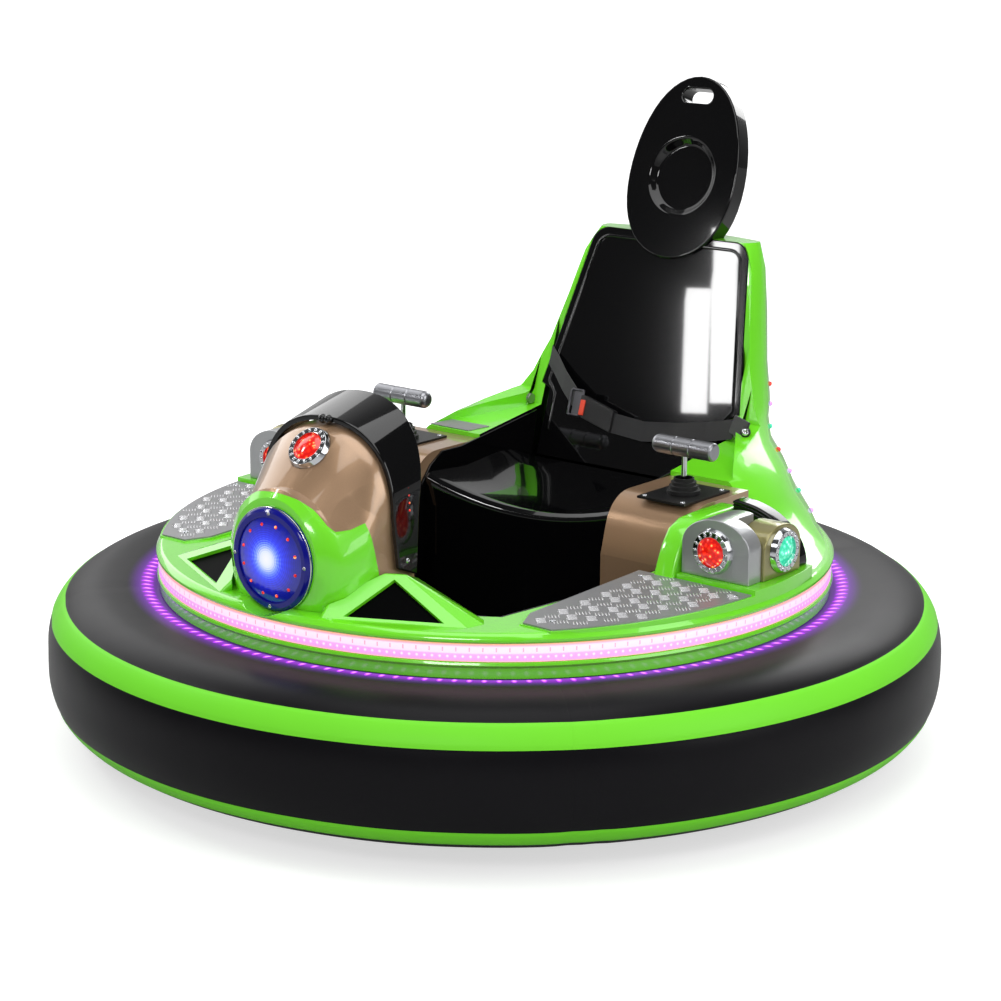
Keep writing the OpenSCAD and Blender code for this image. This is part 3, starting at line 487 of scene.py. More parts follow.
# %% [markdown]
# ## Headlamp lens
# The headlamp's lens is pressed in fine rings and rays. Both are small waves added to the distance
# from the middle before it picks a colour, so one ramp makes the white heart and the dark border.

# %% Finish of the headlamp
lamp_low, lamp_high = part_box("headlamp_lens")
lamp_x = (lamp_low.x + lamp_high.x) / 2
lamp_z = (lamp_low.z + lamp_high.z) / 2
lens_radius = (lamp_high.x - lamp_low.x) / 2
ring_pitch = 4.4 * mm
ray_count = 28.0
material, tree, shader, place = start_finish("lens_blue", (10, 24, 150), 0.15, coat=1.0, dust=0.02)
x, y, z = apart(tree, place)
across = calc(tree, "SUBTRACT", x, lamp_x - 4 * mm)
above = calc(tree, "SUBTRACT", z, lamp_z + 2 * mm)
reach = distance(tree, across, above)
ray_wave = calc(tree, "SINE", product(tree, calc(tree, "ARCTAN2", above, across), ray_count))
ring_wave = calc(tree, "SINE", product(tree, reach, 2 * math.pi / ring_pitch))
waves = calc(tree, "ADD", product(tree, ray_wave, 0.02), product(tree, ring_wave, 0.055))
share = calc(tree, "ADD", calc(tree, "DIVIDE", reach, lens_radius), waves)
lens_stops = [
    (0.0, (1, 1, 1, 1)),
    (0.2, colour(235, 244, 255)),
    (0.32, colour(120, 160, 255)),
    (0.46, colour(30, 54, 236)),
    (0.68, colour(16, 20, 170)),
    (0.84, colour(9, 11, 96)),
    (1.0, colour(5, 6, 54)),
]
tree.links.new(ramp(tree, share, lens_stops), shader.inputs["Emission Color"])
shader.inputs["Emission Strength"].default_value = 0.95
finish["lens_blue"] = material

# %% [markdown]
# ## Belt webbing
# Seat-belt webbing is a close twill. Slanted ribs across the strap read as twill at this distance,
# and the webbing is matt with a slight sheen.

# %% Finish of the webbing
material, tree, shader, place = start_finish("belt_web", (20, 20, 22), 0.7, dust=0.1, height=0.5 * mm)
x, y, z = apart(tree, place)
twill_pitch = 3.2 * mm
rib_pitch = 1.6 * mm
twill = calc(tree, "SINE", product(tree, calc(tree, "ADD", x, z), 2 * math.pi / twill_pitch))
ribs = calc(tree, "SINE", product(tree, z, 2 * math.pi / rib_pitch))
weave = calc(tree, "MULTIPLY_ADD", twill, 0.4, product(tree, ribs, 0.2))
tree.links.new(weave, bump_height(shader)[0])
shader.inputs["Sheen Weight"].default_value = 0.25
finish["belt_web"] = material
print("finishes:", len(finish))

# %% [markdown]
# ## Rounded skins over the solids
# Moulded shells have no knife edges, and light catches the rounding first. Each CAD solid is loose
# triangles, so a copy is merged, its flat parts are joined, its edges get a small bevel, and the
# copy stands for the solid. Its shape and place stay those of the CAD model. The rim and the tub keep
# their triangles: a flat face with an opening in it would close that opening once its edges are round.

# %% Copy, merge and round a solid
KEEPS_TRIANGLES = ("body_rim", "tub")


def only(*objects):
    bpy.ops.object.select_all(action="DESELECT")
    for item in objects:
        item.select_set(True)
    bpy.context.view_layer.objects.active = objects[0]


def place_in_mesh(piece):
    only(piece)
    bpy.ops.object.transform_apply(location=True, rotation=True, scale=True)


def add_piece(piece, name, body, slot, look=None):
    """Name a finished piece, give it its finish and let it ride on its body."""
    place_in_mesh(piece)
    piece.name = name
    piece.data.name = name
    piece.data.materials.clear()
    piece.data.materials.append(finish[look or slot])
    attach(piece, body)
    return piece


def rounded_skin(node, edge):
    source = frame["nodes"][node]
    piece = bpy.data.objects.new(node + "_skin", source.data.copy())
    bpy.context.scene.collection.objects.link(piece)
    only(piece)
    bpy.ops.object.mode_set(mode="EDIT")
    bpy.ops.mesh.select_all(action="SELECT")
    bpy.ops.mesh.remove_doubles(threshold=0.02 * mm)
    bpy.ops.mesh.customdata_custom_splitnormals_clear()
    if node not in KEEPS_TRIANGLES:
        bpy.ops.mesh.dissolve_limited(angle_limit=math.radians(0.4))
    bpy.ops.object.mode_set(mode="OBJECT")
    if edge:
        bevel = piece.modifiers.new("Rounded edges", "BEVEL")
        bevel.width = edge
        bevel.segments = 4 if edge > 5 * mm else 2
        bevel.limit_method = "ANGLE"
        bevel.angle_limit = math.radians(38.0)
        bpy.ops.object.modifier_apply(modifier=bevel.name)
    bpy.ops.object.shade_smooth_by_angle(angle=math.radians(34.0))
    weighted = piece.modifiers.new("Flat faces shade flat", "WEIGHTED_NORMAL")
    weighted.keep_sharp = True
    bpy.ops.object.modifier_apply(modifier=weighted.name)
    add_piece(piece, node + "_skin", source["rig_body"], slot_of[node])
    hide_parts(node)
    return piece


EDGE_ROUNDING = {
    "body_rim": 3, "seat_shell": 4, "seat_back": 3, "seat_bench": 5, "tub": 2, "headrest": 12,
    "front_apron": 3, "nose": 2.5, "cowl": 2.5, "hood_band": 3.5, "console_left": 3, "console_right": 3,
    "silver_pods": 7, "olive_pods": 7, "pod_arches": 4, "pod_bezels": 1, "cowl_lamp_bezel": 1,
    "headlamp_housing": 3, "boot_left": 0.8, "boot_right": 0.8,
    "lever_base_left": 0.6, "lever_base_right": 0.6,
    "belt_buckle": 2.5, "belt_tongue": 0.8, "belt_anchors": 1.2, "ring_seat": 0, "led_strip": 1,
    "headlamp_lens": 0, "cowl_lamp_lens": 0, "pod_red_lenses": 0, "pod_green_lenses": 0, "lever_left": 0,
    "lever_right": 0, "grip_left": 0, "grip_right": 0, "drive_wheel_left": 1, "drive_wheel_right": 1,
    "castor_fork_front": 0.5, "castor_fork_rear": 0.5, "castor_wheel_front": 0.8, "castor_wheel_rear": 0.8,
    "drive_motors": 1.5, "battery": 3,
}
skins = {}
for node, edge in EDGE_ROUNDING.items():
    skins[node] = rounded_skin(node, edge * mm)
print("skins:", len(skins), "faces:", sum(len(skin.data.polygons) for skin in skins.values()))

# %% [markdown]
# ## Inner sides of the shell
# Beside the bench the shell is black like the seat. A second finish is added to the skin, and the
# faces that take it are picked by their place and by the direction they face.

# %% Black inner sides
seat_half_room = 0.285
black_top = 0.66
black_rear = 0.60
black_faces = 0
skins["seat_shell"].data.materials.append(finish["gloss_black"])
for face in skins["seat_shell"].data.polygons:
    inner_side = abs(face.normal.x) > 0.9 and abs(face.center.x) < seat_half_room
    if inner_side and face.center.z < black_top and face.center.y < black_rear:
        face.material_index = 1
        black_faces += 1
print("black faces:", black_faces)

# %% [markdown]
# ## Solids that stay
# Flat plates and hidden solids are right as they are and only take a finish.

# %% Finishes for the solids that stay
for node, item in frame["nodes"].items():
    if node not in skins:
        item.data.materials.clear()
        item.data.materials.append(finish[slot_of[node]])

# %% [markdown]
# ## The tube
# An inflated tube is a rounded rectangle swept round the car. A circle of points is set to that
# section, bands that are welded on stand slightly proud, and Spin sweeps it. The skin is then
# moved a little by slow noise, because inflated vinyl never is a perfect surface. Its inner side stays
# as it is, because the hull holds it there.

# %% Spin the tube
ring_low, ring_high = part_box("inflatable_ring")
ring_outer = ring_high.x
ring_middle_z = (ring_low.z + ring_high.z) / 2
ring_half_height = (ring_high.z - ring_low.z) / 2
ring_width = 336 * mm
outer_half = 0.434 * ring_width
inner_half = ring_width - outer_half
section_middle = ring_outer - outer_half
squareness = 2.64
BAND_ANGLES = ((25.0, 50.0), (-50.0, -30.0))
band_proud = 1.2 * mm
pinch_width = 22 * mm
pinch_depth = 1.6 * mm
slack_depth = 1.1 * mm
free_from = section_middle - 60 * mm


def section_point(angle, proud=0.0):
    c, s = math.cos(math.radians(angle)), math.sin(math.radians(angle))
    half = outer_half if c > 0 else inner_half
    radius = section_middle + math.copysign(abs(c) ** (2 / squareness), c) * (half + proud)
    height = ring_middle_z + math.copysign(abs(s) ** (2 / squareness), s) * (ring_half_height + proud)
    return Vector((radius, 0, height))


section_count = 144
spin_steps = 216
bpy.ops.object.select_all(action="DESELECT")
bpy.ops.mesh.primitive_circle_add(vertices=section_count, radius=1.0)
tube = bpy.context.object
for number, vertex in enumerate(tube.data.vertices):
    angle = -180.0 + 360.0 * number / section_count
    in_band = any(start < angle < end for start, end in BAND_ANGLES)
    vertex.co = section_point(angle, band_proud if in_band else 0.0)
bpy.ops.object.mode_set(mode="EDIT")
bpy.ops.mesh.select_all(action="SELECT")
bpy.ops.mesh.spin(steps=spin_steps, angle=2 * math.pi, center=(0, 0, 0), axis=(0, 0, 1))
bpy.ops.mesh.select_all(action="SELECT")
bpy.ops.mesh.remove_doubles(threshold=0.05 * mm)
bpy.ops.mesh.normals_make_consistent(inside=False)
bpy.ops.object.mode_set(mode="OBJECT")

band_heights = [sorted((section_point(a).z, section_point(b).z)) for a, b in BAND_ANGLES]
tube.data.materials.append(finish["ring_black"])
tube.data.materials.append(finish["ring_green"])
for face in tube.data.polygons:
    outside = math.hypot(face.center.x, face.center.y) > section_middle
    if outside and any(low < face.center.z < high for low, high in band_heights):
        face.material_index = 1
for vertex in tube.data.vertices:
    x, y, z = vertex.co
    radius = math.hypot(x, y)
    angle = math.atan2(x, -y)
    turns = [angle - math.radians(weld_angle) for weld_angle in WELD_ANGLES]
    away = min(abs(math.atan2(math.sin(turn), math.cos(turn))) for turn in turns)
    pinch = math.exp(-((away * radius) / pinch_width) ** 2) * pinch_depth
    slack = noise.noise(Vector((x * 4, y * 4, z * 7))) * slack_depth - slack_depth
    from_middle = Vector((radius - section_middle, z - ring_middle_z)).normalized()
    if radius > free_from:
        move = (slack - pinch) * from_middle
        vertex.co = Vector((x, y, 0)) * ((radius + move.x) / radius) + Vector((0, 0, z + move.y))
only(tube)
bpy.ops.object.shade_smooth()
place_in_mesh(tube)
tube.name = "vinyl_tube"
tube.data.name = "vinyl_tube"
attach(tube, "car")
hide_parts("inflatable_ring", "ring_stripes")
print("tube faces:", len(tube.data.polygons))

# %% [markdown]
# ## Many small copies
# Screws, diodes and tread bars repeat by the dozen. One is modelled, then its mesh is copied to
# every place and joined to one piece, which keeps the scene short.

# %% Helper for repeated small pieces
def joined_copies(model, places, name, body, slot, look=None):
    """Copies of a small model at each matrix, joined as one piece. The model itself is removed."""
    copies = []
    for place in places:
        item = bpy.data.objects.new(name, model.data.copy())
        bpy.context.scene.collection.objects.link(item)
        item.data.transform(place)
        copies.append(item)
    bpy.data.objects.remove(model)
    only(*copies)
    if len(copies) > 1:
        bpy.ops.object.join()
    return add_piece(bpy.context.view_layer.objects.active, name, body, slot, look)


def facing(place, direction):
    """A matrix that sets a model's +Z along a direction at a place."""
    aim = Vector(direction).to_track_quat("Z", "Y").to_matrix().to_4x4()
    return Matrix.Translation(Vector(place)) @ aim


def both_sides(place, direction):
    """Matrices that face a direction on the car's left and, mirrored, on its right."""
    matrices = []
    for side in (1, -1):
        matrices.append(facing((side * place[0], *place[1:]), (side * direction[0], *direction[1:])))
    return matrices


def dome(radius, height, segments=12, rings=6):
    """A half-round button, open side closed, standing on its own origin."""
    bpy.ops.object.select_all(action="DESELECT")
    bpy.ops.mesh.primitive_uv_sphere_add(segments=segments, ring_count=rings, radius=radius)
    item = bpy.context.object
    bpy.ops.object.mode_set(mode="EDIT")
    bpy.ops.mesh.select_all(action="SELECT")
    bpy.ops.mesh.bisect(plane_co=(0, 0, -0.02 * radius), plane_no=(0, 0, 1), clear_inner=True, use_fill=True)
    bpy.ops.object.mode_set(mode="OBJECT")
    item.scale = (1, 1, height / radius)
    place_in_mesh(item)
    bpy.ops.object.shade_smooth_by_angle(angle=math.radians(50))
    return item


def screw(radius, height):
    """A pan-head screw: a low dome, cut flat on top, with a recess pressed in by an inset with depth."""
    item = dome(radius, height, 16, 8)
    only(item)
    bpy.ops.object.mode_set(mode="EDIT")
    bpy.ops.mesh.select_all(action="SELECT")
    bpy.ops.mesh.bisect(plane_co=(0, 0, height * 0.8), plane_no=(0, 0, 1), clear_outer=True, use_fill=True)
    bpy.ops.mesh.inset(thickness=radius * 0.12, depth=-height * 0.25)
    bpy.ops.object.mode_set(mode="OBJECT")
    return item


# %% [markdown]
# ## Headlamp details
# A ring of red diodes shines through the blue lens, a thin bright trim runs round the housing, and
# four screws hold it. The diodes are low domes seated on the lens.

# %% Headlamp
housing_low, housing_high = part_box("headlamp_housing")
housing_radius = (housing_high.x - housing_low.x) / 2
diode_ring = 0.0727


def round_headlamp(count, reach, y, start=0.0):
    """Matrices for copies that face forwards in a ring round the headlamp's middle."""
    matrices = []
    for step in range(count):
        turn_angle = 2 * math.pi * (step + start) / count
        point = (lamp_x + reach * math.cos(turn_angle), y, lamp_z + reach * math.sin(turn_angle))
        matrices.append(facing(point, (0, -1, 0)))
    return matrices


places = round_headlamp(12, diode_ring, lamp_low.y + 5.2 * mm, start=0.5)
joined_copies(dome(3.6 * mm, 3.2 * mm), places, "headlamp_diodes", "car", "lens_red")
places = round_headlamp(4, housing_radius - 11 * mm, housing_low.y + 0.4 * mm)
joined_copies(screw(4.2 * mm, 2.4 * mm), places, "headlamp_screws", "car", "chrome")

bpy.ops.object.select_all(action="DESELECT")
bpy.ops.mesh.primitive_torus_add(major_radius=housing_radius - 0.5 * mm, minor_radius=1.8 * mm,
                                 major_segments=96, minor_segments=10,
                                 location=(lamp_x, housing_low.y + 9 * mm, lamp_z),
                                 rotation=(math.pi / 2, 0, 0))
trim = bpy.context.object
bpy.ops.object.shade_smooth()
add_piece(trim, "headlamp_trim", "car", "chrome")

# %% [markdown]
# ## Small lamps
# The lamps on the cowl and the pods share one pattern: a bright bezel with petals round a domed
# lens. The petals catch light like the facets of a real reflector.

# %% Petals and screws of the small lamps
lens_outer = 31 * mm
petal_count = 16
petal_ring = 37.2 * mm
petal_lift = 11.6 * mm
bezel_depth = 12 * mm
cowl_lamp_lean = math.radians(47)
cowl_lamp = (Vector((0, -583, 722)) * mm, Vector((0, -math.sin(cowl_lamp_lean), math.cos(cowl_lamp_lean))))
red_low, red_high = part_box("pod_red_lenses")
green_low, green_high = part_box("pod_green_lenses")
bezel_low, bezel_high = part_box("pod_bezels")
red_height = (red_low.z + red_high.z) / 2
green_height = (green_low.z + green_high.z) / 2
red_side = red_high.x - lens_outer
green_y = green_high.y - lens_outer
small_lamps = [cowl_lamp]
for side in (1, -1):
    front_seat = Vector((side * red_side, bezel_low.y + bezel_depth, red_height))
    side_seat = Vector((side * (bezel_high.x - bezel_depth), green_y, green_height))
    small_lamps.append((front_seat, Vector((0, -1, 0))))
    small_lamps.append((side_seat, Vector((side, 0, 0))))

petal = dome(5.6 * mm, 3.0 * mm, 10, 6)
petal.scale = (1.0, 0.62, 1.0)
place_in_mesh(petal)
places = []
for centre, direction in small_lamps:
    base = facing(centre, direction)
    for step in range(petal_count):
        spin = Matrix.Rotation(2 * math.pi * step / petal_count, 4, "Z")
        places.append(base @ spin @ Matrix.Translation((petal_ring, 0, petal_lift)))
joined_copies(petal, places, "lamp_petals", "car", "chrome")

# %% [markdown]
# ## Tread plate
# Five-bar tread plate is rolled with groups of five short bars, each group square to its
# neighbours. One bar is a low, round-ended ridge, and it is copied in a checker of groups wherever
# the whole group lies on the plate. The bars are a brighter, glossier metal than the plate between them.

# %% Bars and screws of the tread plates
tread_slope = 0.0283
tread_front_y = -0.490
tread_front_top = 0.431
tread_round = 0.725
tread_inner = 0.443
slant_from_y = -0.430
slant = 0.45
bars_front_y = -0.485
bars_rear_y = -0.071


def tread_surface(y):
    return tread_front_top + (y - tread_front_y) * tread_slope


def on_tread(x, y, margin):
    inside_round = math.hypot(x, y) < tread_round - margin
    past_inner = x > tread_inner + margin + max(0.0, slant_from_y - y) * slant
    return inside_round and past_inner and bars_front_y + margin < y < bars_rear_y - margin


bar = dome(1.0, 1.0, 10, 4)
bar.scale = (13 * mm, 1.7 * mm, 1.3 * mm)
place_in_mesh(bar)

group_pitch = 35 * mm
bar_pitch = 6.6 * mm
places = []
for column in range(12, 23):
    for row in range(-15, 0):
        centre_x = column * group_pitch
        centre_y = row * group_pitch + (group_pitch / 2 if column % 2 else 0.0)
        if not on_tread(centre_x, centre_y, 15 * mm):
            continue
        lean = math.radians(45 if (column + row) % 2 else -45)
        for number in range(5):
            offset = Matrix.Rotation(lean, 4, "Z") @ Vector((0, (number - 2) * bar_pitch, 0))
            for side in (1, -1):
                spot_place = Vector((side * (centre_x + offset.x), centre_y + offset.y, 0))
                spot_place.z = tread_surface(spot_place.y)
                tip = Matrix.Rotation(math.atan(tread_slope), 4, "X")
                places.append(Matrix.Translation(spot_place) @ tip @ Matrix.Rotation(side * lean, 4, "Z"))
joined_copies(bar, places, "tread_bars", "car", "tread_aluminium", "tread_bright")
print("tread bars:", len(places))

places = []
for x, y in ((0.509, -0.443), (0.700, -0.098), (0.470, -0.100)):
    places += both_sides((x, y, tread_surface(y)), (0, 0, 1))
joined_copies(screw(7 * mm, 3.2 * mm), places, "tread_screws", "car", "chrome")

# %% [markdown]
# ## Lever plates
# Each lever stands in a black plate that four bright screws hold at its corners.

# %% Screws of the lever plates
base_low, base_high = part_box("lever_base_left")
inset = 12 * mm
places = []
for x in (base_low.x + inset, base_high.x - inset):
    for y in (base_low.y + inset, base_high.y - inset):
        places += both_sides((x, y, base_low.z + 4.9 * mm), (0, 0, 1))
joined_copies(screw(5.2 * mm, 3.0 * mm), places, "plate_screws", "car", "chrome")

# %% [markdown]
# ## Tubes along a line
# Beads, ribs and wire loops are all a round section drawn along a few points, so one helper makes
# them from a poly curve with a bevel and turns the curve into a mesh.

# %% Helper for tubes along a line
def poly_curve(points, bevel, name, closed):
    """A selected curve object with straight stretches between its points."""
    data = bpy.data.curves.new(name, "CURVE")
    data.dimensions = "3D"
    data.bevel_depth = bevel
    data.bevel_resolution = 3
    line = data.splines.new("POLY")
    line.points.add(len(points) - 1)
    line.use_cyclic_u = closed
    for knot, point in zip(line.points, points):
        knot.co = (*point, 1.0)
    item = bpy.data.objects.new(name, data)
    bpy.context.scene.collection.objects.link(item)
    only(item)
    return item


def line_tube(points, radius, name, slot, closed=False):
    poly_curve(points, radius, name, closed).data.use_fill_caps = True
    bpy.ops.object.convert(target="MESH")
    bpy.ops.object.shade_smooth()
    return add_piece(bpy.context.object, name, "car", slot)


# %% [markdown]
# ## Seat back border
# The seat back has a raised bead round its edge that the light picks out. Its line follows the
# panel's outline a little way in, with round upper corners.

# %% Bead round the seat back
back_tilt = math.radians(18)
back_foot = Vector((0, 518, 650)) * mm
back_half = 258 * mm
back_wide = 284 * mm
back_top_half = 224 * mm
back_length = (1016 - 650) * mm / math.cos(back_tilt)
bead_in = 20 * mm
corner = 34 * mm


def on_back(x, along):
    """A point on the seat back's front face: across, and up along its slope."""
    return back_foot + Vector((x, along * math.sin(back_tilt), along * math.cos(back_tilt)))


outline = [(back_half - bead_in, -110 * mm), (back_half - bead_in, -26 * mm), (back_wide - bead_in, 4 * mm)]
corner_x = back_top_half - bead_in - corner
corner_up = back_length - bead_in - corner
for step in range(7):
    turn_angle = math.radians(10 + 80 * step / 6)
    outline.append((corner_x + corner * math.cos(turn_angle), corner_up + corner * math.sin(turn_angle)))
outline = outline + [(-x, along) for x, along in reversed(outline)]
line_tube([on_back(x, along) for x, along in outline], 4.0 * mm, "seat_bead", "gloss_black")

# %% [markdown]
# ## Arches and fairings of the pods
# The black arch behind each pair of pods steps inwards in ribs. Between a console and its pod the
# green shell rises to a rounded fairing, drawn here as a filled outline with thickness and bevel.

# %% Ribs and fairings
arch_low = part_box("pod_arches")[0]
arch_middle = 0.540
arch_half = 0.158
arch_rise = 0.118
for side, word in ((1, "left"), (-1, "right")):
    for number in range(3):
        inward = (5 + 7 * number) * mm
        points = []
        for step in range(25):
            turn_angle = math.radians(92 * step / 24)
            across = arch_middle + (arch_half - inward) * math.cos(turn_angle)
            up = arch_low.z + (arch_rise - inward) * math.sin(turn_angle)
            points.append((side * across, arch_low.y + 0.6 * mm, up))
        line_tube(points, 3.0 * mm, "arch_rib_" + word + str(number + 1), "gloss_black")

fairing_middle = 0.5065
FAIRING = ((-0.074, 0.430), (-0.058, 0.470), (-0.044, 0.500), (-0.024, 0.526), (0.008, 0.540),
           (0.060, 0.543), (0.150, 0.543), (0.150, 0.430))
stand_up = Matrix(((0, 0, 1), (1, 0, 0), (0, 1, 0))).to_4x4()
for side, word in ((1, "left"), (-1, "right")):
    points = [(along, up, 0.0) for along, up in FAIRING]
    item = poly_curve(points, 7 * mm, "pod_fairing_" + word, closed=True)
    item.data.dimensions = "2D"
    item.data.fill_mode = "BOTH"
    item.data.extrude = 18 * mm
    item.matrix_world = Matrix.Translation((side * fairing_middle, 0, 0)) @ stand_up
    bpy.ops.object.convert(target="MESH")
    bpy.ops.object.shade_smooth_by_angle(angle=math.radians(50))
    add_piece(bpy.context.object, "pod_fairing_" + word, "car", "body_green")

# %% [markdown]
# ## Blank plate
# A small bare aluminium plate lies on the right arm rest, along the slope of its top. Its corners
# were found on that slope, and Solidify gives the sheet its thickness.

# %% Plate on the arm rest
bpy.ops.object.select_all(action="DESELECT")
bpy.ops.mesh.primitive_plane_add(size=1.0)
plate = bpy.context.object
corners = ((-0.427, 0.277, 0.5641), (-0.311, 0.277, 0.5641), (-0.398, 0.322, 0.5708),
           (-0.284, 0.322, 0.5708))
for vertex, corner_point in zip(plate.data.vertices, corners):
    vertex.co = corner_point
thick = plate.modifiers.new("Thickness", "SOLIDIFY")
thick.thickness = 1.6 * mm
thick.offset = 1.0
bpy.ops.object.modifier_apply(modifier=thick.name)
add_piece(plate, "arm_rest_plate", "car", "tread_aluminium")

# %% [markdown]
# ## Rear diodes
# Coloured diodes follow the rear corners of the shell down to the rim. Each row gives a diode's seat
# and the direction that the shell faces there; each colour is one joined piece, mirrored left to right.

# %% Diodes on the shell's rear corners
REAR_DIODES = [
    ("lens_green", [
        ((0.4443, 0.5224, 0.500), (0.63, 0.54, 0.55)),
        ((0.3279, 0.5765, 0.620), (0.79, 0.6, 0.11)),
    ]),
    ("led_violet", [
        ((0.4789, 0.5227, 0.460), (0.63, 0.54, 0.55)),
        ((0.4166, 0.5251, 0.540), (0.78, 0.41, 0.47)),
        ((0.2960, 0.6217, 0.660), (0.82, 0.56, 0.0)),
    ]),
    ("lens_red", [
        ((0.3766, 0.5387, 0.580), (0.65, 0.32, 0.68)),
        ((0.2780, 0.6440, 0.700), (0.79, 0.61, 0.08)),
    ]),
]
material, tree, shader, place = start_finish("led_violet", (206, 150, 240), 0.2, coat=1.0, dust=0.02)
shader.inputs["Emission Color"].default_value = colour(206, 130, 250)
shader.inputs["Emission Strength"].default_value = 0.7
finish["led_violet"] = material
for look, seats in REAR_DIODES:
    places = []
    for point, direction in seats:
        places += both_sides(point, direction)
    slot = "lens_blue" if look == "led_violet" else look
    joined_copies(dome(6.0 * mm, 6.0 * mm, 14, 8), places, "rear_diodes_" + look, "car", slot, look)

# %% [markdown]
# ## Hood band trim
# The band over the hood has a small knob in the middle of its front edge, a screw at each foot and
# a short column of red diodes on each side.

# %% Trim of the hood band
band_box_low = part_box("hood_band")[0]
band_half = 182 * mm
band_crown = 180 * mm
arch_base = 0.600
arch_power = 2.3
diode_foot = 0.608
diode_rise = 15 * mm
band_middle_y = -0.490


def band_outer(height):
    """Half width of the band's outer side at a height, from the arch that the solid uses."""
    rise = max(0.0, height - arch_base) / band_crown
    return band_half * (1.0 - rise ** arch_power) ** (1.0 / arch_power)


places = []
for step in range(6):
    height = diode_foot + step * diode_rise
    places += both_sides((band_outer(height) - 0.3 * mm, band_middle_y, height), (1, 0, 0.1))
joined_copies(dome(2.6 * mm, 2.2 * mm), places, "band_diodes", "car", "lens_red")
places = both_sides((0.1926, -0.508, 0.510), (1, 0.06, 0.13))
joined_copies(screw(5.5 * mm, 3.0 * mm), places, "band_screws", "car", "chrome")
knob_front = band_box_low.y + 0.4 * mm
places = [facing((-9 * mm, knob_front, 0.7745), (0, -1, 0)),
          facing((7 * mm, knob_front, 0.7750), (0, -1, 0))]
joined_copies(dome(10 * mm, 11 * mm, 20, 10), places, "band_knob", "car", "gloss_black")

# %% [markdown]
# ## Belt buckle
# The buckle's press strip is orange-red so that it is found at a glance. It is a small block with
# rounded edges, let into the end where the tongue goes in.

# %% Press strip
buckle_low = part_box("belt_buckle")[0]
lean_back = math.radians(18)


def rounded_block(size, turned, place, edge, segments):
    """A block with its edges bevelled, turned and set at a place."""
    bpy.ops.object.select_all(action="DESELECT")
    bpy.ops.mesh.primitive_cube_add(size=1.0)
    block = bpy.context.object
    block.scale = size
    block.rotation_euler = turned
    block.location = place
    place_in_mesh(block)
    bpy.ops.object.mode_set(mode="EDIT")
    bpy.ops.mesh.select_all(action="SELECT")
    bpy.ops.mesh.bevel(offset=edge, segments=segments)
    bpy.ops.object.mode_set(mode="OBJECT")
    return block


press_place = (buckle_low.x + 10 * mm, 0.4512, 0.620)
press = rounded_block((13 * mm, 5 * mm, 36 * mm), (-lean_back, 0, 0), press_place, 1.6 * mm, 3)
bpy.ops.object.shade_smooth_by_angle(angle=math.radians(40))
add_piece(press, "buckle_press", "car", "belt_plastic", "press_red")

# %% [markdown]
# ## Loop, end and bolt of the belt
# The strap runs through a flat wire loop beside the buckle. At the car's left its end is doubled over
# into a thick tab, with a plastic cap and a bolt that holds it to the shell.

# %% Loop, end and bolt of the belt
LOOP = ((-14, -30), (14, -30), (17, -26), (17, 26), (14, 30), (-14, 30), (-17, 26), (-17, -26))
loop_middle = Vector((-0.137, 0.4600, 0.627))
loop_points = []
for across, up in LOOP:
    lift = Vector((across, up * math.sin(lean_back), up * math.cos(lean_back))) * mm
    loop_points.append(loop_middle + lift)
line_tube(loop_points, 3.4 * mm, "belt_loop", "belt_steel", closed=True)

end_turned = (-lean_back, math.radians(4), -math.radians(26))
belt_end = rounded_block((66 * mm, 5 * mm, 42 * mm), end_turned, (0.3180, 0.4685, 0.6330), 2.0 * mm, 2)
add_piece(belt_end, "belt_end", "car", "belt_web")
bolt_aim = (0.5, -0.82, 0.25)
cap_seat = facing((0.3440, 0.4530, 0.6290), bolt_aim)
bolt_seat = facing((0.3470, 0.4480, 0.6305), bolt_aim)
joined_copies(dome(12 * mm, 7 * mm, 20, 10), [cap_seat], "belt_cap", "car", "belt_plastic")
joined_copies(screw(8.5 * mm, 5 * mm), [bolt_seat], "belt_bolt", "car", "chrome")

# %% [markdown]
# ## Floor
# The floor is pale and keeps the car's soft shadow. Seen by the camera it also glows a little, more
# so far from the car, and that lets it run into the white background without an edge.

# %% Floor
bpy.ops.object.select_all(action="DESELECT")
bpy.ops.mesh.primitive_plane_add(size=160.0, location=(0, 0, 0))
floor = bpy.context.object
floor.name = "studio_floor"
floor_look = bpy.data.materials.new("studio_floor")
floor_look.use_nodes = True
tree = floor_look.node_tree
shader = tree.nodes["Principled BSDF"]
shader.inputs["Base Color"].default_value = (0.5, 0.5, 0.5, 1.0)
shader.inputs["Roughness"].default_value = 0.9
shader.inputs["Emission Color"].default_value = (1.0, 1.0, 1.0, 1.0)
path = tree.nodes.new("ShaderNodeLightPath")
x, y, z = apart(tree, tree.nodes.new("ShaderNodeTexCoord").outputs["Object"])
glow = smooth_range(tree, distance(tree, x, y), 1.05, 2.1, 0.62, 1.0)
tree.links.new(product(tree, path.outputs["Is Camera Ray"], glow), shader.inputs["Emission Strength"])
floor.data.materials.append(floor_look)

# %% [markdown]
# ## Soft boxes
# A studio shot like this one uses large soft boxes: one overhead, one on each side, one in front and
# one behind. Two narrow strips are what the glossy seat back mirrors as a bright stripe: their places
# were found by mirroring the camera in the seat back.

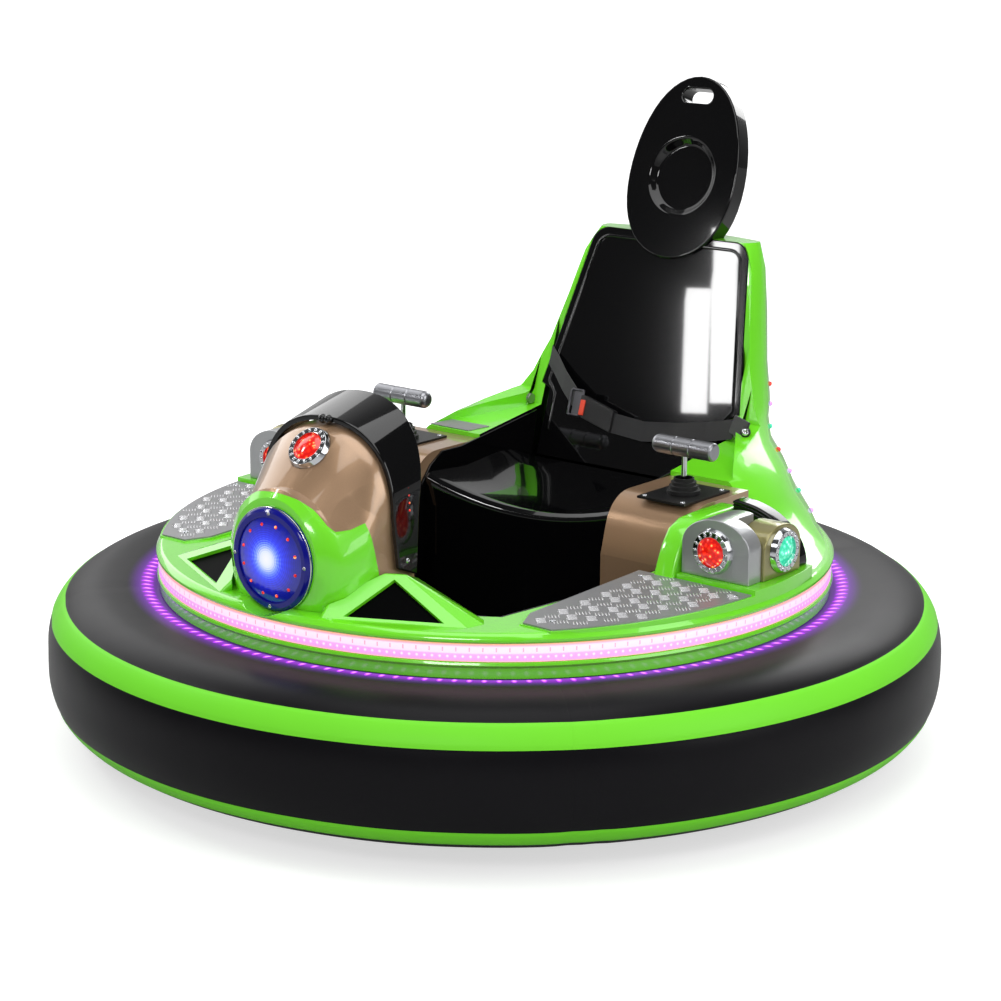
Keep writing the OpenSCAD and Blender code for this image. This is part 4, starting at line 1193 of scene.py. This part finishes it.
# %% Soft boxes
SOFT_BOXES = [
    ("overhead", (0.3, -0.4, 3.4), (0.0, 0.0, 0.4), 2.6, 2.6, 44, 0),
    ("left", (-3.6, 0.5, 2.6), (0.0, 0.0, 0.5), 3.2, 3.0, 44, 0),
    ("right", (3.8, 0.2, 2.2), (0.0, 0.1, 0.5), 2.2, 2.6, 50, 0),
    ("front", (2.2, -4.6, 3.4), (0.0, 0.0, 0.4), 1.6, 1.0, 56, 0),
    ("seat_strip", (-1.246, -1.403, 1.704), (0.195, 0.580, 0.840), 0.085, 0.53, 3.2, 21),
    ("seat_strip_low", (-1.325, -1.427, 1.599), (0.135, 0.557, 0.770), 0.085, 0.41, 2.4, 20),
    ("back", (-0.4, 3.4, 2.4), (0.0, 0.2, 0.7), 2.4, 1.2, 40, 0),
]
for name, place, aim, wide, tall, power, roll in SOFT_BOXES:
    bpy.ops.object.light_add(type="AREA", location=place)
    lamp = bpy.context.object
    lamp.name = name
    aimed = (Vector(aim) - Vector(place)).to_track_quat("-Z", "Y").to_matrix()
    lamp.rotation_euler = (aimed @ Matrix.Rotation(math.radians(roll), 3, "Z")).to_euler()
    lamp.data.shape = "RECTANGLE"
    lamp.data.size = wide
    lamp.data.size_y = tall
    lamp.data.energy = power

# %% [markdown]
# ## Background
# The camera sees white behind the car. Glossy surfaces see a dark room instead, with one pale wall
# beyond the car, so the black shells stay black and only their far edges catch a bright line. All
# other light from the room is an even, soft fill.

# %% Background
wall_side = camera_look.xy
world = bpy.data.worlds.new("studio")
bpy.context.scene.world = world
world.use_nodes = True
tree = world.node_tree
background = tree.nodes["Background"]
background.inputs["Color"].default_value = (1.0, 1.0, 1.0, 1.0)
path = tree.nodes.new("ShaderNodeLightPath")
x, y, z = apart(tree, tree.nodes.new("ShaderNodeTexCoord").outputs["Generated"])
towards_wall = calc(tree, "ADD", product(tree, x, wall_side.x), product(tree, y, wall_side.y))
wall = smooth_range(tree, towards_wall, 0.2, 0.85, 0.07, 0.55)
mirrored = product(tree, path.outputs["Is Glossy Ray"], wall)
spread = product(tree, calc(tree, "SUBTRACT", 1.0, path.outputs["Is Glossy Ray"]), 0.72)
surround = calc(tree, "MAXIMUM", path.outputs["Is Camera Ray"], calc(tree, "ADD", mirrored, spread))
tree.links.new(surround, background.inputs["Strength"])
bpy.context.scene.view_settings.view_transform = "Standard"
